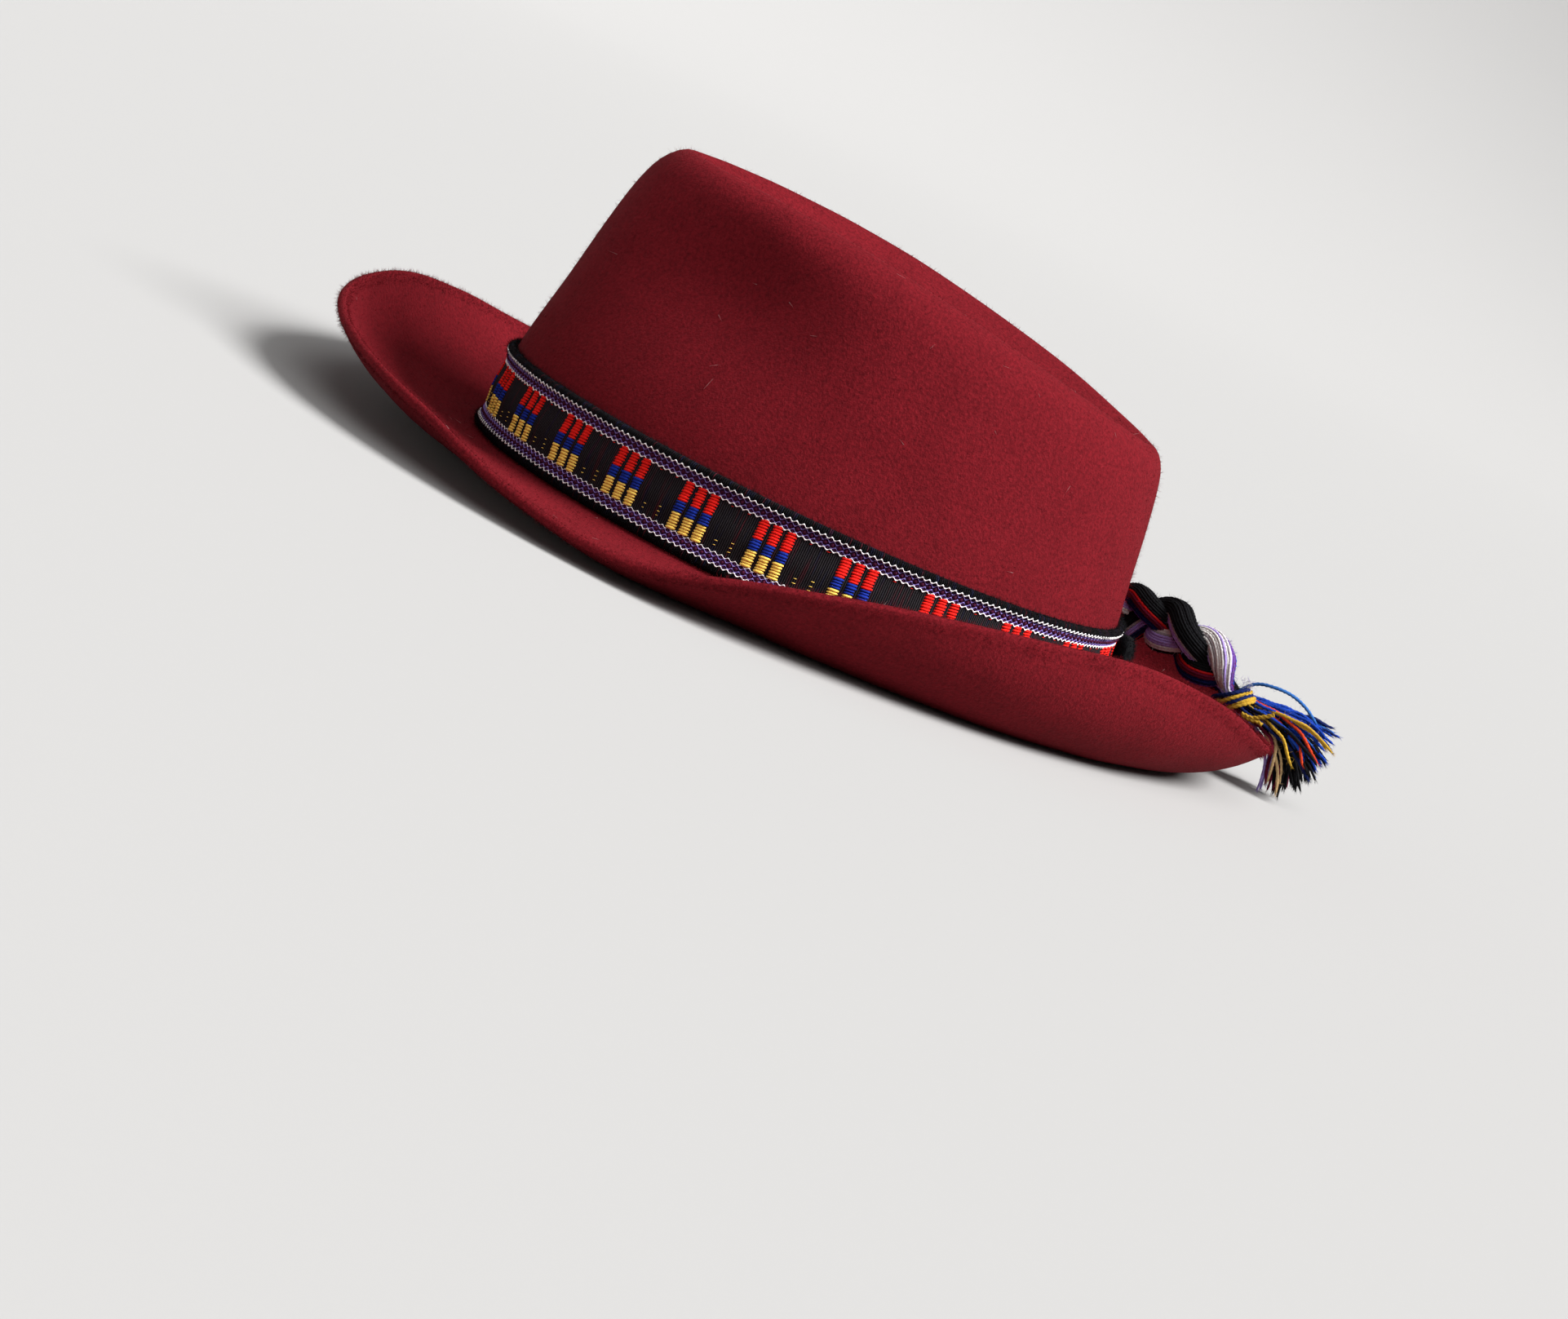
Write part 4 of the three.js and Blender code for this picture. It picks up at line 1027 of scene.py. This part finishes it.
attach(tassel_yarns, "root")
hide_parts("tassel")

# Yarn fuzz
# Fine fibres stand out from the wool of the braid and the tassel, and the cut tips fray. A tuft of pale
# fibre stands up beside the tie.
FUZZ_SEED = 47
BRAID_HAIRS, TASSEL_HAIRS, TIP_HAIRS, TUFT_HAIRS = 9000, 4000, 10, 220
TUFT_PLACE, TUFT_SPREAD = (-6.5, 128.2, 28.0), 1.1
TUFT_COLOURS = [("white", 1), ("grey", 1), ("lilac", 1)]
FUZZ_LENGTH, FUZZ_STRAY = (0.4, 1.9), 0.8
TIP_LENGTH, TIP_STRAY, TIP_WIDE = (0.5, 2.0), 0.45, 0.2
fuzz_random = np.random.default_rng(FUZZ_SEED)


def yarn_hairs(skin, paths, count, colours):
    """Fibres rooted at random on the skins of many yarns, pointing out of each yarn and a little astray."""
    tube = fuzz_random.integers(skin.shape[0], size=count)
    ring = fuzz_random.integers(skin.shape[1], size=count)
    roots = skin[tube, ring, fuzz_random.integers(skin.shape[2], size=count)]
    out = astray(unit(roots - paths[tube, ring]), FUZZ_STRAY, fuzz_random)
    return roots, out, fuzz_random.uniform(*FUZZ_LENGTH, count), colours[tube]


tip_tubes = np.repeat(np.arange(yarn_count), TIP_HAIRS)
tip_along = unit(tassel_paths[:, -1] - tassel_paths[:, -3])[tip_tubes]
tip_spread = unit(fuzz_random.normal(size=tip_along.shape))
tuft_way = unit(fuzz_random.normal(size=(TUFT_HAIRS, 3)))
fuzz_sets = [
    yarn_hairs(braid_skin, yarn_paths, BRAID_HAIRS, braid_colours),
    yarn_hairs(tassel_skin, tassel_paths, TASSEL_HAIRS, tassel_colours),
    (
        tassel_paths[tip_tubes, -1] + TIP_WIDE * tip_spread,
        unit(tip_along + TIP_STRAY * tip_spread),
        fuzz_random.uniform(*TIP_LENGTH, len(tip_tubes)),
        tassel_colours[tip_tubes],
    ),
    (
        TUFT_PLACE + fuzz_random.normal(scale=TUFT_SPREAD, size=(TUFT_HAIRS, 3)),
        tuft_way,
        fuzz_random.uniform(*TIP_LENGTH, TUFT_HAIRS),
        fuzz_random.choice(yarn_numbers(TUFT_COLOURS), TUFT_HAIRS),
    ),
]
fuzz_roots, fuzz_way, fuzz_long, fuzz_colours = (np.concatenate(part) for part in zip(*fuzz_sets))
fuzz_points, fuzz_faces = hairs(fuzz_roots, fuzz_way, fuzz_long, NAP_WIDTH / 2, fuzz_random)
fuzz_points[:, 2] = np.maximum(fuzz_points[:, 2], 0)
fuzz_numbers = np.repeat(fuzz_colours, len(HAIR_FACES))
yarn_fuzz = new_piece("yarn_fuzz", fuzz_points, [(fuzz_faces, fuzz_numbers)], yarn_set)
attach(yarn_fuzz, "root")

# Floor and backdrop
# A plain pale floor that turns up into a round wall far behind, so that no edge shows from any side.
FLOOR_RADIUS, SWEEP_RADIUS, WALL_TOP = 2600.0, 1400.0, 1500.0
FLOOR_CENTRE, FLOOR_COLUMNS, SWEEP_ROWS = 1.0, 96, 13
FLOOR_PALE = dye(160, 159, 158)
sweep = np.radians(np.linspace(0, 90, SWEEP_ROWS))
floor_turn_up = FLOOR_RADIUS + SWEEP_RADIUS * np.sin(sweep)
floor_reach = np.concatenate([[FLOOR_CENTRE, FLOOR_RADIUS / 2], floor_turn_up, floor_turn_up[-1:]])
floor_high = np.concatenate([[0, 0], SWEEP_RADIUS * (1 - np.cos(sweep)), [WALL_TOP]])
floor_angle = 2 * np.pi * np.arange(FLOOR_COLUMNS) / FLOOR_COLUMNS
floor_points = np.stack(np.broadcast_arrays(
    floor_reach[:, None] * np.cos(floor_angle),
    floor_reach[:, None] * np.sin(floor_angle),
    floor_high[:, None],
), -1)
floor_index = point_numbers(floor_points)
floor_material = Cloth("pale_floor", FLOOR_PALE, sheen=0.0, sheen_dye=FLOOR_PALE).material
floor = new_piece(
    "floor",
    floor_points.reshape(-1, 3),
    [(grid_quads(floor_index)[:, ::-1], 0), (floor_index[:1], 0)],
    [floor_material],
)

# Light
# One soft lamp stands high on the viewer's right, toward the hat's back. A weaker and broader one stands
# above the viewer's side, and pale light comes from all round.
KEY_FROM, KEY_SPREAD, KEY_POWER = (0.16, 0.67, 0.72), 0.5, 7.2
FILL_FROM, FILL_SPREAD, FILL_POWER = (0.5, 0.2, 0.84), 1.0, 1.4
LAMP_UP = (1, 0, 0)
WORLD_PALE, WORLD_STRENGTH = dye(244, 244, 246), 0.2


def aim(location, backward, up):
    """Placement matrix from a place, its backward axis and roughly its up axis."""
    backward = unit(np.asarray(backward, float))
    right = unit(np.cross(up, backward))
    columns = np.stack([right, np.cross(backward, right), backward, np.asarray(location) * MM], 1)
    return Matrix(np.concatenate([columns, [[0, 0, 0, 1]]]).tolist())


for lamp_name, lamp_from, lamp_spread, lamp_power in (
    ("key_lamp", KEY_FROM, KEY_SPREAD, KEY_POWER),
    ("fill_lamp", FILL_FROM, FILL_SPREAD, FILL_POWER),
):
    lamp = bpy.data.lights.new(lamp_name, "SUN")
    lamp.angle, lamp.energy = lamp_spread, lamp_power
    lamp_holder = bpy.data.objects.new(lamp_name, lamp)
    lamp_holder.matrix_world = aim(np.zeros(3), lamp_from, LAMP_UP)
    bpy.context.scene.collection.objects.link(lamp_holder)
world = bpy.data.worlds.new("pale_room")
world.use_nodes = True
world.node_tree.nodes["Background"].inputs["Color"].default_value = WORLD_PALE
world.node_tree.nodes["Background"].inputs["Strength"].default_value = WORLD_STRENGTH
bpy.context.scene.world = world
bpy.context.scene.view_settings.view_transform = "Standard"

# Camera
# It looks at the hat's left side from a little above, turned in the frame so that the hat's front is higher.
CAMERA_PLACE = (1112.2, -43.32, 167.72)
CAMERA_BACKWARD = (0.985, -0.039, 0.168)
CAMERA_UP = (-0.1687, -0.4191, 0.8921)
CAMERA_LENS, SENSOR_WIDTH = 88.02, 36.0
camera = bpy.data.cameras.new("camera")
camera.lens, camera.sensor_width = CAMERA_LENS, SENSOR_WIDTH
camera_holder = bpy.data.objects.new("camera", camera)
camera_holder.matrix_world = aim(CAMERA_PLACE, CAMERA_BACKWARD, CAMERA_UP)
bpy.context.scene.collection.objects.link(camera_holder)
bpy.context.scene.camera = camera_holder
